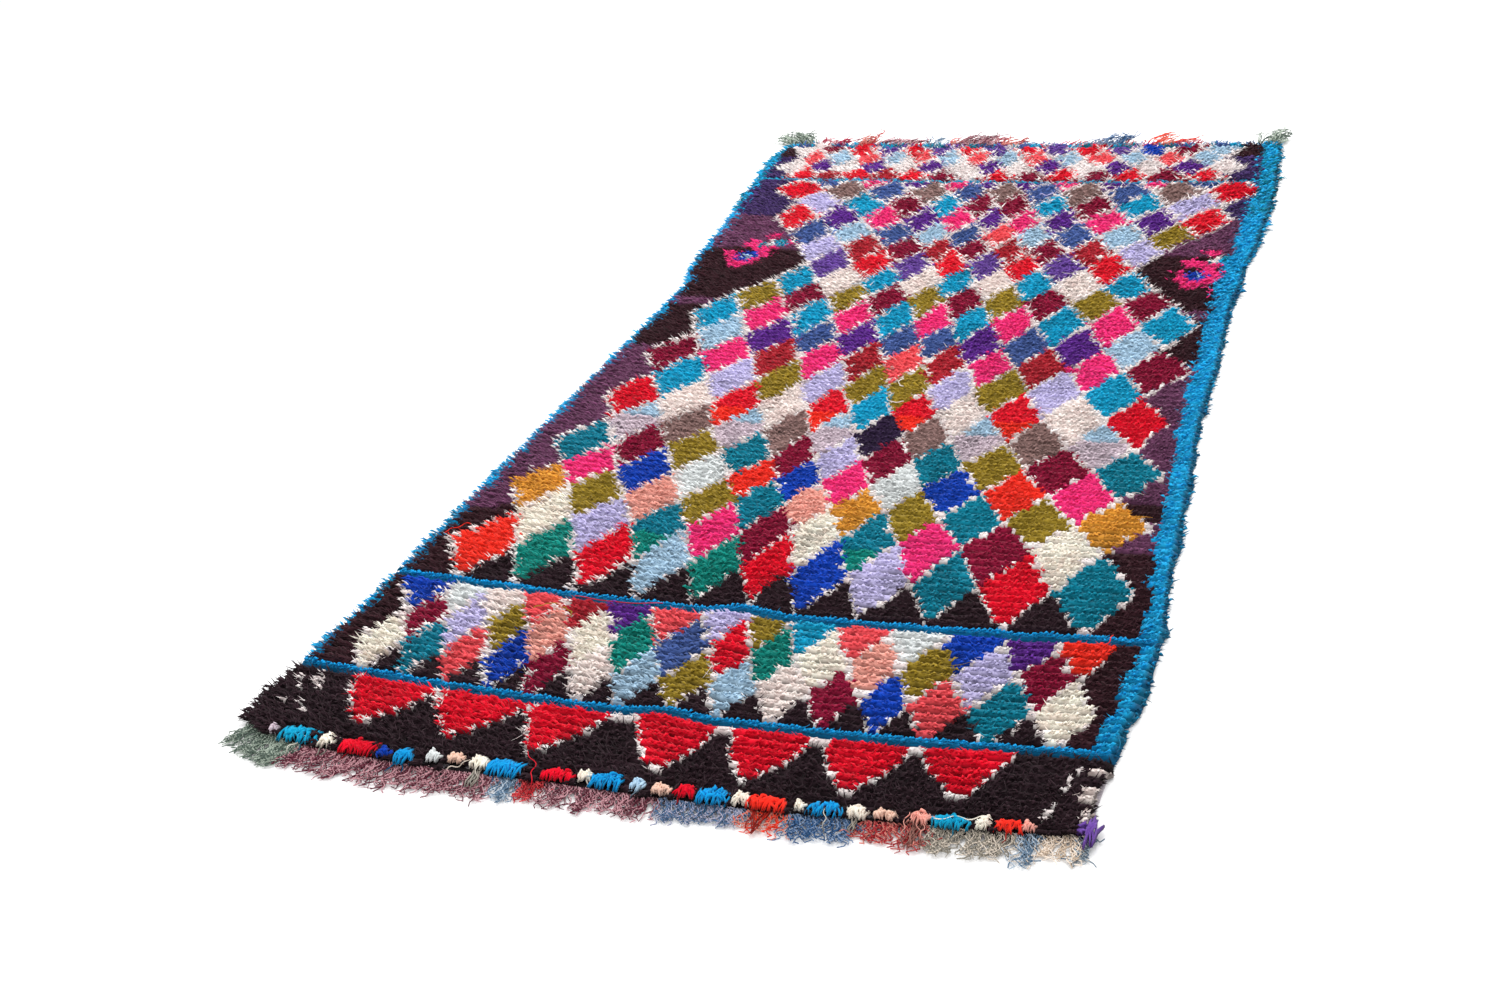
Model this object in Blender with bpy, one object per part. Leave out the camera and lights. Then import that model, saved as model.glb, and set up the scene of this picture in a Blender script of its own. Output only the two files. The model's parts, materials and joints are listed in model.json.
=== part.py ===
"""Boucherouite rug lying flat: one knotted body with ribbed pile, and a fringe strip at each end.

Metres, +Z up. The rug's near end is at -Y and its far end at +Y. The underside is flat at z = 0.
"""

import math
import random
from collections import namedtuple

import bmesh
import bpy
from mathutils import Vector, noise

# Driving dimensions of the whole rug
BODY_LENGTH = 2.716
RIB_COUNT = 138
ROOT_GAP = 0.0003
WELD_DISTANCE = 0.00005

# Pile heights over the floor
VALLEY_HEIGHT = 0.0135
CREST_HEIGHT = 0.0215
RIM_HEIGHT = 0.0050
END_HEIGHT = 0.0120
LUMP_HEIGHT = 0.0028
LUMP_SIZE = 0.11
JITTER_HEIGHT = 0.0012

# Locks of pile at the two long edges
RIBS_PER_LOCK = 2
LOCK_REACH = 0.016
LOCK_SWEEP = 0.0055
LOCK_SHORTEST = 0.5
BETWEEN_LOCKS = 0.12

# Where the points across one row of the body stand, as shares of its width
ACROSS = (0.0, 0.015, 0.05, 0.14, 0.26, 0.38, 0.5, 0.62, 0.74, 0.86, 0.95, 0.985, 1.0)
RIM_SHOULDER = 0.80

# The outline, set down from the near end: the long edges wander, as hand-knotted ones do
Station = namedtuple("Station", "along left right")
OUTLINE = (
    Station(along=0.000, left=-0.664, right=0.644),
    Station(along=0.104, left=-0.680, right=0.641),
    Station(along=0.195, left=-0.669, right=0.646),
    Station(along=0.351, left=-0.653, right=0.662),
    Station(along=0.494, left=-0.645, right=0.672),
    Station(along=0.676, left=-0.637, right=0.660),
    Station(along=0.936, left=-0.628, right=0.653),
    Station(along=1.196, left=-0.615, right=0.642),
    Station(along=1.456, left=-0.602, right=0.646),
    Station(along=1.742, left=-0.592, right=0.640),
    Station(along=1.872, left=-0.620, right=0.650),
    Station(along=2.106, left=-0.629, right=0.662),
    Station(along=2.366, left=-0.654, right=0.672),
    Station(along=2.626, left=-0.674, right=0.660),
    Station(along=2.716, left=-0.655, right=0.654),
)

# How far the rows of knots sag towards the near end between their ends, and the kink at mid-width
RowBend = namedtuple("RowBend", "along sag kink")
ROW_BENDS = (
    RowBend(along=0.000, sag=0.014, kink=0.000),
    RowBend(along=0.200, sag=0.030, kink=0.013),
    RowBend(along=0.480, sag=0.027, kink=0.014),
    RowBend(along=0.950, sag=0.012, kink=0.004),
    RowBend(along=1.500, sag=0.007, kink=0.000),
    RowBend(along=2.430, sag=0.020, kink=0.000),
    RowBend(along=2.716, sag=0.012, kink=0.000),
)
KINK_WIDTH = 0.07

# Blue cross stripes that stand up from the pile like a laid rope
RaisedStripe = namedtuple("RaisedStripe", "along extra")
RAISED_STRIPES = (
    RaisedStripe(along=0.212, extra=0.0045),
    RaisedStripe(along=0.489, extra=0.0045),
    RaisedStripe(along=2.452, extra=0.0015),
)

# Stretches of fringe from the last one's end to a place across: how long their strands are, how far
# they lean to the right in radians, and the bare gap that ends the stretch
FringeRun = namedtuple("FringeRun", "upto length lean gap")
NEAR_RUNS = (
    FringeRun(upto=-0.548, length=0.058, lean=-0.50, gap=0.000),
    FringeRun(upto=-0.360, length=0.046, lean=-0.42, gap=0.005),
    FringeRun(upto=-0.205, length=0.050, lean=-0.28, gap=0.000),
    FringeRun(upto=-0.168, length=0.048, lean=-0.15, gap=0.004),
    FringeRun(upto=-0.126, length=0.044, lean=-0.10, gap=0.005),
    FringeRun(upto=0.066, length=0.052, lean=-0.12, gap=0.005),
    FringeRun(upto=0.180, length=0.046, lean=-0.05, gap=0.003),
    FringeRun(upto=0.238, length=0.038, lean=-0.10, gap=0.000),
    FringeRun(upto=0.342, length=0.050, lean=-0.10, gap=0.008),
    FringeRun(upto=0.432, length=0.052, lean=-0.05, gap=0.002),
    FringeRun(upto=0.548, length=0.048, lean=-0.05, gap=0.000),
    FringeRun(upto=0.580, length=0.048, lean=-0.05, gap=0.004),
    FringeRun(upto=0.644, length=0.056, lean=0.04, gap=0.000),
)
FAR_RUNS = (
    FringeRun(upto=-0.560, length=0.064, lean=-0.20, gap=0.000),
    FringeRun(upto=-0.480, length=0.026, lean=0.20, gap=0.006),
    FringeRun(upto=-0.450, length=0.034, lean=0.15, gap=0.000),
    FringeRun(upto=-0.405, length=0.058, lean=0.05, gap=0.000),
    FringeRun(upto=-0.300, length=0.038, lean=0.30, gap=0.000),
    FringeRun(upto=-0.272, length=0.016, lean=0.15, gap=0.022),
    FringeRun(upto=-0.215, length=0.044, lean=0.00, gap=0.000),
    FringeRun(upto=-0.184, length=0.034, lean=0.15, gap=0.000),
    FringeRun(upto=-0.085, length=0.062, lean=0.40, gap=0.000),
    FringeRun(upto=0.000, length=0.038, lean=0.25, gap=0.000),
    FringeRun(upto=0.100, length=0.018, lean=0.20, gap=0.000),
    FringeRun(upto=0.160, length=0.026, lean=0.30, gap=0.000),
    FringeRun(upto=0.205, length=0.034, lean=0.35, gap=0.000),
    FringeRun(upto=0.262, length=0.058, lean=0.45, gap=0.000),
    FringeRun(upto=0.330, length=0.020, lean=0.30, gap=0.000),
    FringeRun(upto=0.385, length=0.062, lean=0.45, gap=0.000),
    FringeRun(upto=0.455, length=0.020, lean=0.20, gap=0.000),
    FringeRun(upto=0.605, length=0.015, lean=0.10, gap=0.000),
    FringeRun(upto=0.654, length=0.062, lean=0.40, gap=0.000),
)

# The two fringes: strands lie on the floor and stand apart but for the strip at their roots
Fringe = namedtuple(
    "Fringe", "name end runs pitch strip_width root_width tip_width strip_height root_height tip_height seed"
)
FRINGES = (
    Fringe(
        name="fringe_near", end=-1, runs=NEAR_RUNS, pitch=0.0125, strip_width=0.012, root_width=0.0080,
        tip_width=0.0035, strip_height=0.0085, root_height=0.0062, tip_height=0.0035, seed=11,
    ),
    Fringe(
        name="fringe_far", end=1, runs=FAR_RUNS, pitch=0.0165, strip_width=0.010, root_width=0.0120,
        tip_width=0.0045, strip_height=0.0140, root_height=0.0135, tip_height=0.0075, seed=23,
    ),
)
FRINGE_END_MARGIN = 0.007
STRAND_LONGEST = 0.070
LENGTH_JITTER = 0.13
TIP_SPACING = 0.0055

# Seeds of the hand-made unevenness
BODY_SEED = 5
LOCK_SEED = 8

# Finishes: name, colour in linear light and roughness
Yarn = namedtuple("Yarn", "name colour roughness")
PILE_YARN = Yarn(name="pile_yarn", colour=(0.33, 0.07, 0.11, 1.0), roughness=0.95)
NEAR_WARP = Yarn(name="near_warp_yarn", colour=(0.30, 0.20, 0.22, 1.0), roughness=0.95)
FAR_WARP = Yarn(name="far_warp_yarn", colour=(0.22, 0.24, 0.25, 1.0), roughness=0.95)


def eased(table, column, along):
    """Return a table's column at a distance along the rug, eased between its rows."""
    if along <= table[0].along:
        return getattr(table[0], column)
    for before, after in zip(table, table[1:]):
        if along <= after.along:
            share = (along - before.along) / (after.along - before.along)
            share = share * share * (3.0 - 2.0 * share)
            low = getattr(before, column)
            return low + share * (getattr(after, column) - low)
    return getattr(table[-1], column)


def row_point(across, along):
    """Return the plan position of a point that lies a share across the row at a distance along."""
    left = eased(OUTLINE, "left", along)
    right = eased(OUTLINE, "right", along)
    x = left + across * (right - left)
    from_middle = 2.0 * across - 1.0
    sag = eased(ROW_BENDS, "sag", along) * (from_middle * from_middle - 1.0)
    kink = eased(ROW_BENDS, "kink", along) * math.exp(-((from_middle / KINK_WIDTH) ** 2))
    return x, along + sag + kink


def stripe_extra(along):
    """Return how much the rib at this distance stands above the plain pile."""
    half_rib = 0.5 * BODY_LENGTH / RIB_COUNT
    for stripe in RAISED_STRIPES:
        if abs(along - stripe.along) <= half_rib:
            return stripe.extra
    return 0.0


def rim_share(across):
    """Return the share of the pile's height that is left at a place across the row."""
    from_edge = min(across, 1.0 - across)
    if from_edge <= ACROSS[0]:
        return 0.0
    if from_edge <= ACROSS[1]:
        return RIM_SHOULDER
    return 1.0


def lock_reaches():
    """Return how far each half rib sticks out at the left and right edges."""
    rng = random.Random(LOCK_SEED)
    reaches = []
    for half_rib in range(2 * RIB_COUNT + 1):
        is_lock = half_rib % (2 * RIBS_PER_LOCK) == 1
        pair = []
        for _ in range(2):
            if is_lock:
                pair.append(LOCK_REACH * rng.uniform(LOCK_SHORTEST, 1.0))
            else:
                pair.append(LOCK_REACH * rng.uniform(0.0, BETWEEN_LOCKS))
        reaches.append(pair)
    return reaches


def pile_height(across, along, half_rib, rng):
    """Return the height of the pile's face: a crest or a valley, with lumps and wear."""
    crest = half_rib % 2 == 1
    height = CREST_HEIGHT + stripe_extra(along) if crest else VALLEY_HEIGHT
    if half_rib in (0, 2 * RIB_COUNT):
        height = END_HEIGHT
    height += LUMP_HEIGHT * noise.noise(Vector((across / LUMP_SIZE, along / LUMP_SIZE, 0.5)))
    height += rng.uniform(-JITTER_HEIGHT, JITTER_HEIGHT)
    return RIM_HEIGHT + rim_share(across) * (height - RIM_HEIGHT)


def add_material(obj, yarn):
    """Give an object the Principled material of its yarn."""
    material = bpy.data.materials.new(yarn.name)
    material.use_nodes = True
    shader = material.node_tree.nodes["Principled BSDF"]
    shader.inputs["Base Color"].default_value = yarn.colour
    shader.inputs["Roughness"].default_value = yarn.roughness
    shader.inputs["Metallic"].default_value = 0.0
    material.diffuse_color = yarn.colour
    obj.data.materials.append(material)


def build_body(collection):
    """Make the knotted body: a grid of ribs, walled down to the floor and closed flat below."""
    rows = 2 * RIB_COUNT
    columns = len(ACROSS) - 1
    bm = bmesh.new()
    bmesh.ops.create_grid(bm, x_segments=columns, y_segments=rows, size=0.5)
    rng = random.Random(BODY_SEED)
    reaches = lock_reaches()
    for vert in sorted(bm.verts, key=lambda v: (round(v.co.y * rows), v.co.x)):
        column = round((vert.co.x + 0.5) * columns)
        half_rib = round((vert.co.y + 0.5) * rows)
        across = ACROSS[column]
        along = BODY_LENGTH * half_rib / rows
        x, y = row_point(across, along)
        if column == 0:
            x -= reaches[half_rib][0]
        if column == columns:
            x += reaches[half_rib][1]
        at_rim = column in (0, columns)
        is_lock = half_rib % (2 * RIBS_PER_LOCK) == 1
        if at_rim and is_lock:
            y -= LOCK_SWEEP
        vert.co = (x, y, pile_height(across, along, half_rib, rng))

    rim_edges = [edge for edge in bm.edges if edge.is_boundary]
    wall = bmesh.ops.extrude_edge_only(bm, edges=rim_edges)
    for element in wall["geom"]:
        if isinstance(element, bmesh.types.BMVert):
            element.co.z = 0.0
    floor_edges = [edge for edge in bm.edges if edge.is_boundary]
    bmesh.ops.holes_fill(bm, edges=floor_edges, sides=0)
    bmesh.ops.recalc_face_normals(bm, faces=bm.faces)
    mesh = bpy.data.meshes.new("rug_body")
    bm.to_mesh(mesh)
    bm.free()
    body = bpy.data.objects.new("rug_body", mesh)
    collection.objects.link(body)
    add_material(body, PILE_YARN)
    return body


def strand_points(root_x, root_y, tip_x, length, fringe):
    """Return the outline of one strand from its left root round its tip to its right root."""
    knee_x = root_x + 0.4 * (tip_x - root_x)
    knee_y = root_y + 0.5 * length
    tip_y = root_y + length
    knee_width = 0.5 * (fringe.root_width + fringe.tip_width)
    return [
        (root_x - 0.5 * fringe.root_width, root_y),
        (knee_x - 0.5 * knee_width, knee_y),
        (tip_x - 0.5 * fringe.tip_width, tip_y),
        (tip_x + 0.5 * fringe.tip_width, tip_y),
        (knee_x + 0.5 * knee_width, knee_y),
        (root_x + 0.5 * fringe.root_width, root_y),
    ]


def strand_places(fringe):
    """Return root x, tip x and length of a fringe's strands, with no tip past its neighbour's."""
    rng = random.Random(fringe.seed)
    along = 0.0 if fringe.end < 0 else BODY_LENGTH
    start = eased(OUTLINE, "left", along) + FRINGE_END_MARGIN
    last = eased(OUTLINE, "right", along) - FRINGE_END_MARGIN
    places = []
    last_tip = start - 1.0
    for run in fringe.runs:
        stop = min(run.upto - run.gap, last)
        count = max(1, round((stop - start) / fringe.pitch))
        for index in range(count):
            root_x = start + (index + 0.5) * (stop - start) / count
            length = run.length * (1.0 + rng.uniform(-LENGTH_JITTER, LENGTH_JITTER))
            tip_x = max(root_x + length * math.tan(run.lean), last_tip + TIP_SPACING)
            places.append((root_x, tip_x, length))
            last_tip = tip_x
        start = run.upto
    return places


def edge_point(across, fringe):
    """Return a point on the body's end edge, with y counted outwards from that end."""
    along = 0.0 if fringe.end < 0 else BODY_LENGTH
    x, y = row_point(across, along)
    return x, fringe.end * y


def edge_height_at(x, fringe):
    """Return how far out the body's end edge lies at a place across it."""
    points = [edge_point(across, fringe) for across in ACROSS]
    for (x0, y0), (x1, y1) in zip(points, points[1:]):
        if x <= x1:
            return y0 + (x - x0) / (x1 - x0) * (y1 - y0)
    return points[-1][1]


def fringe_outline(fringe):
    """Return the comb-shaped outline of a fringe, with y counted outwards from its end."""
    back = [edge_point(across, fringe) for across in ACROSS]
    outline = [(x, y + ROOT_GAP) for x, y in reversed(back)]
    front = [(back[0][0], back[0][1] + ROOT_GAP + fringe.strip_width)]
    for root_x, tip_x, length in strand_places(fringe):
        root_y = edge_height_at(root_x, fringe) + ROOT_GAP + fringe.strip_width
        front.extend(strand_points(root_x, root_y, tip_x, length, fringe))
    front.append((back[-1][0], back[-1][1] + ROOT_GAP + fringe.strip_width))
    return outline + front


def strand_height(outward, fringe, edge):
    """Return the height of a fringe's upper face at a distance out from the body's edge."""
    past_strip = outward - edge - ROOT_GAP - fringe.strip_width
    if past_strip < -WELD_DISTANCE:
        return fringe.strip_height
    share = min(1.0, past_strip / STRAND_LONGEST)
    return fringe.root_height + share * (fringe.tip_height - fringe.root_height)


def build_fringe(collection, fringe, yarn):
    """Make one fringe: a flat comb outline given a height that thins towards the tips."""
    curve = bpy.data.curves.new(fringe.name, "CURVE")
    curve.dimensions = "2D"
    curve.fill_mode = "BOTH"
    curve.extrude = 0.5 * fringe.strip_height
    outline = fringe_outline(fringe)
    spline = curve.splines.new("POLY")
    spline.points.add(len(outline) - 1)
    for point, (x, outward) in zip(spline.points, outline):
        point.co = (x, outward, 0.0, 1.0)
    spline.use_cyclic_u = True
    guide = bpy.data.objects.new(fringe.name + "_outline", curve)
    collection.objects.link(guide)
    bpy.context.view_layer.update()
    evaluated = guide.evaluated_get(bpy.context.evaluated_depsgraph_get())
    mesh = bpy.data.meshes.new_from_object(evaluated)
    bpy.data.objects.remove(guide)

    bm = bmesh.new()
    bm.from_mesh(mesh)
    bmesh.ops.remove_doubles(bm, verts=bm.verts, dist=WELD_DISTANCE)
    for vert in bm.verts:
        outward = vert.co.y
        height = strand_height(outward, fringe, edge_height_at(vert.co.x, fringe))
        vert.co = (vert.co.x, fringe.end * outward, height if vert.co.z > 0.0 else 0.0)
    bmesh.ops.recalc_face_normals(bm, faces=bm.faces)
    if bm.calc_volume(signed=True) < 0.0:
        bmesh.ops.reverse_faces(bm, faces=bm.faces)
    bm.to_mesh(mesh)
    bm.free()
    mesh.name = fringe.name
    comb = bpy.data.objects.new(fringe.name, mesh)
    collection.objects.link(comb)
    add_material(comb, yarn)
    return comb


def centre_on_floor(pieces):
    """Slide the pieces together so that the middle of their plan lies at the origin."""
    corners = [vert.co for piece in pieces for vert in piece.data.vertices]
    middle_x = 0.5 * (min(c.x for c in corners) + max(c.x for c in corners))
    middle_y = 0.5 * (min(c.y for c in corners) + max(c.y for c in corners))
    for piece in pieces:
        piece.location = (-middle_x, -middle_y, 0.0)


def main():
    """Clear the scene and build the rug's three pieces."""
    for obj in list(bpy.data.objects):
        bpy.data.objects.remove(obj)
    collection = bpy.data.collections.new("boucherouite_rug")
    bpy.context.scene.collection.children.link(collection)
    pieces = [build_body(collection)]
    for fringe, yarn in zip(FRINGES, (NEAR_WARP, FAR_WARP)):
        pieces.append(build_fringe(collection, fringe, yarn))
    centre_on_floor(pieces)


main()
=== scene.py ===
"""Looks of a boucherouite rug: knotted wool pile, woven ground, fringes and a plain studio.

Metres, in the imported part's frame: the rug lies flat on z = 0 with its near end at -Y.
"""

import json
import logging
import math
from dataclasses import dataclass, field, fields
from enum import Enum

import bpy
import numpy as np
from mathutils import Matrix, Vector

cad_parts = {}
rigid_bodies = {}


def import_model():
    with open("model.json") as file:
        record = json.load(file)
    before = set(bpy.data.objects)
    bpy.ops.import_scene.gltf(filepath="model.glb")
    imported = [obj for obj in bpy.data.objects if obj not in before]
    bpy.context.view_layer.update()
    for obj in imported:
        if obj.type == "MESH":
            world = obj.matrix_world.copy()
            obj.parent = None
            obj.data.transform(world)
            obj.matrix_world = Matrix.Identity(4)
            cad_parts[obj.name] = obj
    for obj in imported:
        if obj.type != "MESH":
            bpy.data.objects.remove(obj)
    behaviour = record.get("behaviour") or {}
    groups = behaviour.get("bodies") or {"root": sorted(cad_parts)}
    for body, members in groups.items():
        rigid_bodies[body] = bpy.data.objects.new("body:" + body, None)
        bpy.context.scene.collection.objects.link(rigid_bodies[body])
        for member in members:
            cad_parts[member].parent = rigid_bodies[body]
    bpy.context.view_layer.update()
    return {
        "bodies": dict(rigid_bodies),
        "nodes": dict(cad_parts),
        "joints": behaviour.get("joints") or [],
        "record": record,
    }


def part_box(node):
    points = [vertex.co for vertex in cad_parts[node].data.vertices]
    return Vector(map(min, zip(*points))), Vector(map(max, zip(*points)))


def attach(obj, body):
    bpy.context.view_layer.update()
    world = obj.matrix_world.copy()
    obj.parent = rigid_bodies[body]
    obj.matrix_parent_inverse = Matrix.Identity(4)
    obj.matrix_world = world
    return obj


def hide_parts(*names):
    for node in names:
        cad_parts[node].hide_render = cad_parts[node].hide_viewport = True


LOG = logging.getLogger("boucherouite_rug")
BODY = "root"


class Dye(Enum):
    """Colours that the yarns were dyed, as sRGB hex values."""

    CRIMSON = "DA0626"
    RED = "E0142C"
    ORANGE = "FF3020"
    CORAL = "F5525A"
    SALMON = "F0A294"
    PEACH = "F2C4B0"
    PINK = "FC307C"
    MAROON = "880C34"
    BRICK = "AE2230"
    PURPLE = "5F288C"
    VIOLET = "6B479C"
    ROYAL = "0A40B0"
    DENIM = "445C98"
    SKY = "A8C6DC"
    LAVENDER = "C2BAE2"
    BLUE = "0A92D0"
    LAGOON = "18A2D6"
    TURQUOISE = "0A9CC4"
    TEAL = "047C94"
    EMERALD = "08887C"
    OLIVE = "967E26"
    OCHRE = "D89434"
    TAUPE = "8C6E6A"
    MAUVE = "CDBBC6"
    MIST = "DCE0E0"
    ECRU = "FADED8"
    CREAM = "FFE8D8"
    WHITE = "F8E2E0"
    PLUM = "6A3C5C"
    AUBERGINE = "443064"
    NIGHT = "2E1E3C"
    UMBER = "361B22"
    BLACK = "2C1B22"


class Twist(Enum):
    """Two-coloured twisted yarns of the fringes: the sRGB hex value of each ply."""

    SAGE = ("4E5E54", "A6B2A4")
    ROSE = ("5C1E30", "C8969E")
    STEEL = ("58748E", "B8C6D4")
    SCARLET = ("A0101E", "D84C50")
    HEATHER = ("446488", "B0AEC2")
    FLAME = ("E0300E", "D08C7C")
    INDIGO = ("24507E", "8CA0BC")
    BRICK = ("A01C28", "D88478")
    OAT = ("8A8478", "DCCFC0")
    CREAM = ("CDB8A2", "F2E4D6")
    SLATE = ("56687A", "A8B4BC")
    WINE = ("960830", "BC3050")


class Slot(Enum):
    """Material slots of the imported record."""

    PILE = "knotted_wool_pile"
    NEAR = "near_warp_yarn"
    FAR = "far_warp_yarn"


def dyes(words: str) -> tuple[Dye, ...]:
    """Turn dye names in plain words into dyes.

    Args:
        words: Names of dyes with spaces between.

    Returns:
        The dyes in the same order.
    """
    return tuple(Dye[word.upper()] for word in words.split())


def linear(hex_colour: str) -> tuple[float, float, float, float]:
    """Turn an sRGB hex value into a linear colour.

    Args:
        hex_colour: Six hex digits.

    Returns:
        Red, green, blue and an alpha of 1.
    """
    channels = []
    for start in (0, 2, 4):
        value = int(hex_colour[start:start + 2], 16) / 255.0
        if value <= 0.04045:
            channels.append(value / 12.92)
        else:
            channels.append(((value + 0.055) / 1.055) ** 2.4)
    return (channels[0], channels[1], channels[2], 1.0)


# Tables of the rug's plan and pattern, one named row each


@dataclass(frozen=True)
class RowBend:
    """How far a row of knots sags towards the near end, and its kink at mid-width."""

    along: float
    sag: float
    kink: float


@dataclass(frozen=True)
class Span:
    """Where a lattice's first and last columns stand, at a distance along the rug."""

    along: float
    left: float
    right: float


@dataclass(frozen=True)
class BorderStretch:
    """Dark side borders up to a distance along the rug."""

    upto: float
    left: Dye
    right: Dye


@dataclass(frozen=True)
class YarnChange:
    """Where the weaver went on with another yarn inside a lozenge, from -1 at its foot to 1 at its top."""

    was: Dye
    becomes: Dye
    start: float
    stop: float


@dataclass(frozen=True)
class LozengeRow:
    """One row of lozenges: its middle and its yarns, in from the left edge.

    A mirrored row's yarns run to mid-width and back. Any other row repeats its yarns.
    """

    centre: float
    yarns: tuple[Dye, ...]
    mirrored: bool = True
    short: int = 0
    change: YarnChange | None = None


ROW_BENDS = (
    RowBend(along=0.000, sag=0.014, kink=0.000),
    RowBend(along=0.200, sag=0.030, kink=0.013),
    RowBend(along=0.480, sag=0.027, kink=0.014),
    RowBend(along=0.950, sag=0.012, kink=0.004),
    RowBend(along=1.500, sag=0.007, kink=0.000),
    RowBend(along=2.430, sag=0.020, kink=0.000),
    RowBend(along=2.716, sag=0.012, kink=0.000),
)


@dataclass(frozen=True)
class EdgeLift:
    """How far the first rows are drawn in from the near end, at a place across."""

    x: float
    lift: float


EDGE_LIFTS = (
    EdgeLift(x=-0.665, lift=0.052),
    EdgeLift(x=-0.610, lift=0.026),
    EdgeLift(x=-0.550, lift=0.012),
    EdgeLift(x=-0.360, lift=0.006),
    EdgeLift(x=-0.100, lift=0.012),
    EdgeLift(x=0.200, lift=0.013),
    EdgeLift(x=0.330, lift=0.019),
    EdgeLift(x=0.420, lift=0.024),
    EdgeLift(x=0.560, lift=0.029),
    EdgeLift(x=0.660, lift=0.044),
)

FIELD_SPANS = (
    Span(along=0.607, left=-0.530, right=0.550),
    Span(along=0.809, left=-0.520, right=0.549),
    Span(along=0.987, left=-0.507, right=0.546),
    Span(along=1.180, left=-0.482, right=0.530),
    Span(along=1.392, left=-0.477, right=0.536),
    Span(along=1.595, left=-0.452, right=0.530),
    Span(along=1.793, left=-0.436, right=0.524),
    Span(along=1.995, left=-0.442, right=0.524),
    Span(along=2.178, left=-0.452, right=0.530),
    Span(along=2.371, left=-0.507, right=0.572),
)
LOWER_SPANS = (
    Span(along=0.290, left=-0.559, right=0.560),
    Span(along=0.460, left=-0.566, right=0.566),
)
FAR_SPANS = (
    Span(along=2.480, left=-0.574, right=0.540),
    Span(along=2.716, left=-0.580, right=0.525),
)

FIELD_ROWS = (
    LozengeRow(0.607, dyes("orange emerald crimson sky emerald crimson royal lavender teal crimson teal"),
               mirrored=False),
    LozengeRow(0.719, dyes("cream lavender teal pink maroon cream teal pink maroon cream"), mirrored=False,
               change=YarnChange(Dye.TEAL, Dye.EMERALD, -1.0, -0.30)),
    LozengeRow(0.809, dyes("ochre olive salmon olive teal salmon ochre olive teal olive ochre"),
               mirrored=False),
    LozengeRow(0.895, dyes("pink royal mist orange royal pink mist royal orange pink"), mirrored=False),
    LozengeRow(0.987, dyes("teal maroon olive teal maroon lavender")),
    LozengeRow(1.075, dyes("mauve taupe mauve taupe mauve night taupe mauve taupe mauve"), mirrored=False,
               change=YarnChange(Dye.MAUVE, Dye.SKY, 0.30, 1.0)),
    LozengeRow(1.180, dyes("crimson ecru red ecru red turquoise"),
               change=YarnChange(Dye.RED, Dye.ORANGE, -1.0, -0.15)),
    LozengeRow(1.284, dyes("turquoise lavender olive lavender olive")),
    LozengeRow(1.392, dyes("maroon pink brick pink brick coral")),
    LozengeRow(1.487, dyes("sky purple denim purple denim")),
    LozengeRow(1.595, dyes("turquoise pink turquoise pink turquoise pink")),
    LozengeRow(1.704, dyes("olive maroon"), mirrored=False),
    LozengeRow(1.793, dyes("turquoise ecru turquoise ecru turquoise"), short=1),
    LozengeRow(1.897, dyes("violet red"), mirrored=False, short=1),
    LozengeRow(1.995, dyes("lavender brick maroon brick maroon"), short=1),
    LozengeRow(2.085, dyes("denim sky denim sky denim coral sky denim sky olive"), mirrored=False),
    LozengeRow(2.178, dyes("red purple pink purple pink purple")),
    LozengeRow(2.278, dyes("lavender turquoise maroon turquoise maroon")),
    LozengeRow(2.371, dyes("crimson taupe denim taupe denim taupe")),
    LozengeRow(2.462, dyes("denim pink purple pink purple")),
)
LOWER_ROWS = (
    LozengeRow(0.290, dyes("cream teal coral royal maroon ecru sky olive")),
    LozengeRow(0.374, dyes("maroon lavender olive salmon cream emerald denim crimson emerald cream salmon "
                           "olive lavender maroon"), mirrored=False),
    LozengeRow(0.458, dyes("royal mist ecru coral brick purple coral lavender olive turquoise coral mist "
                           "royal purple orange"), mirrored=False),
)
FAR_ROWS = (
    LozengeRow(2.484, dyes("red brick red brick red maroon white red maroon red maroon red maroon red"),
               mirrored=False),
    LozengeRow(2.548, dyes("white purple"), mirrored=False),
    LozengeRow(2.616, dyes("coral sky"), mirrored=False),
    LozengeRow(2.684, dyes("white maroon red violet red violet red violet red violet red violet royal "
                           "maroon sky"), mirrored=False),
)

BORDERS = (
    BorderStretch(upto=0.72, left=Dye.UMBER, right=Dye.UMBER),
    BorderStretch(upto=0.82, left=Dye.PLUM, right=Dye.PLUM),
    BorderStretch(upto=0.89, left=Dye.PLUM, right=Dye.UMBER),
    BorderStretch(upto=1.42, left=Dye.PLUM, right=Dye.PLUM),
    BorderStretch(upto=1.62, left=Dye.UMBER, right=Dye.UMBER),
    BorderStretch(upto=1.66, left=Dye.PLUM, right=Dye.PLUM),
    BorderStretch(upto=1.97, left=Dye.UMBER, right=Dye.UMBER),
    BorderStretch(upto=2.19, left=Dye.PLUM, right=Dye.PLUM),
    BorderStretch(upto=2.61, left=Dye.AUBERGINE, right=Dye.AUBERGINE),
    BorderStretch(upto=2.80, left=Dye.UMBER, right=Dye.UMBER),
)


@dataclass(frozen=True)
class SelvedgeWidth:
    """How wide the blue binding of the long edges is, at a distance along the rug."""

    along: float
    left: float
    right: float


SELVEDGES = (
    SelvedgeWidth(along=0.20, left=0.020, right=0.030),
    SelvedgeWidth(along=1.20, left=0.021, right=0.036),
    SelvedgeWidth(along=2.10, left=0.024, right=0.048),
    SelvedgeWidth(along=2.72, left=0.034, right=0.044),
)


@dataclass(frozen=True)
class Tooth:
    """One crimson tooth of the dark band: its broad end's corners and its tip."""

    left: float
    right: float
    tip: float
    tip_along: float


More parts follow.
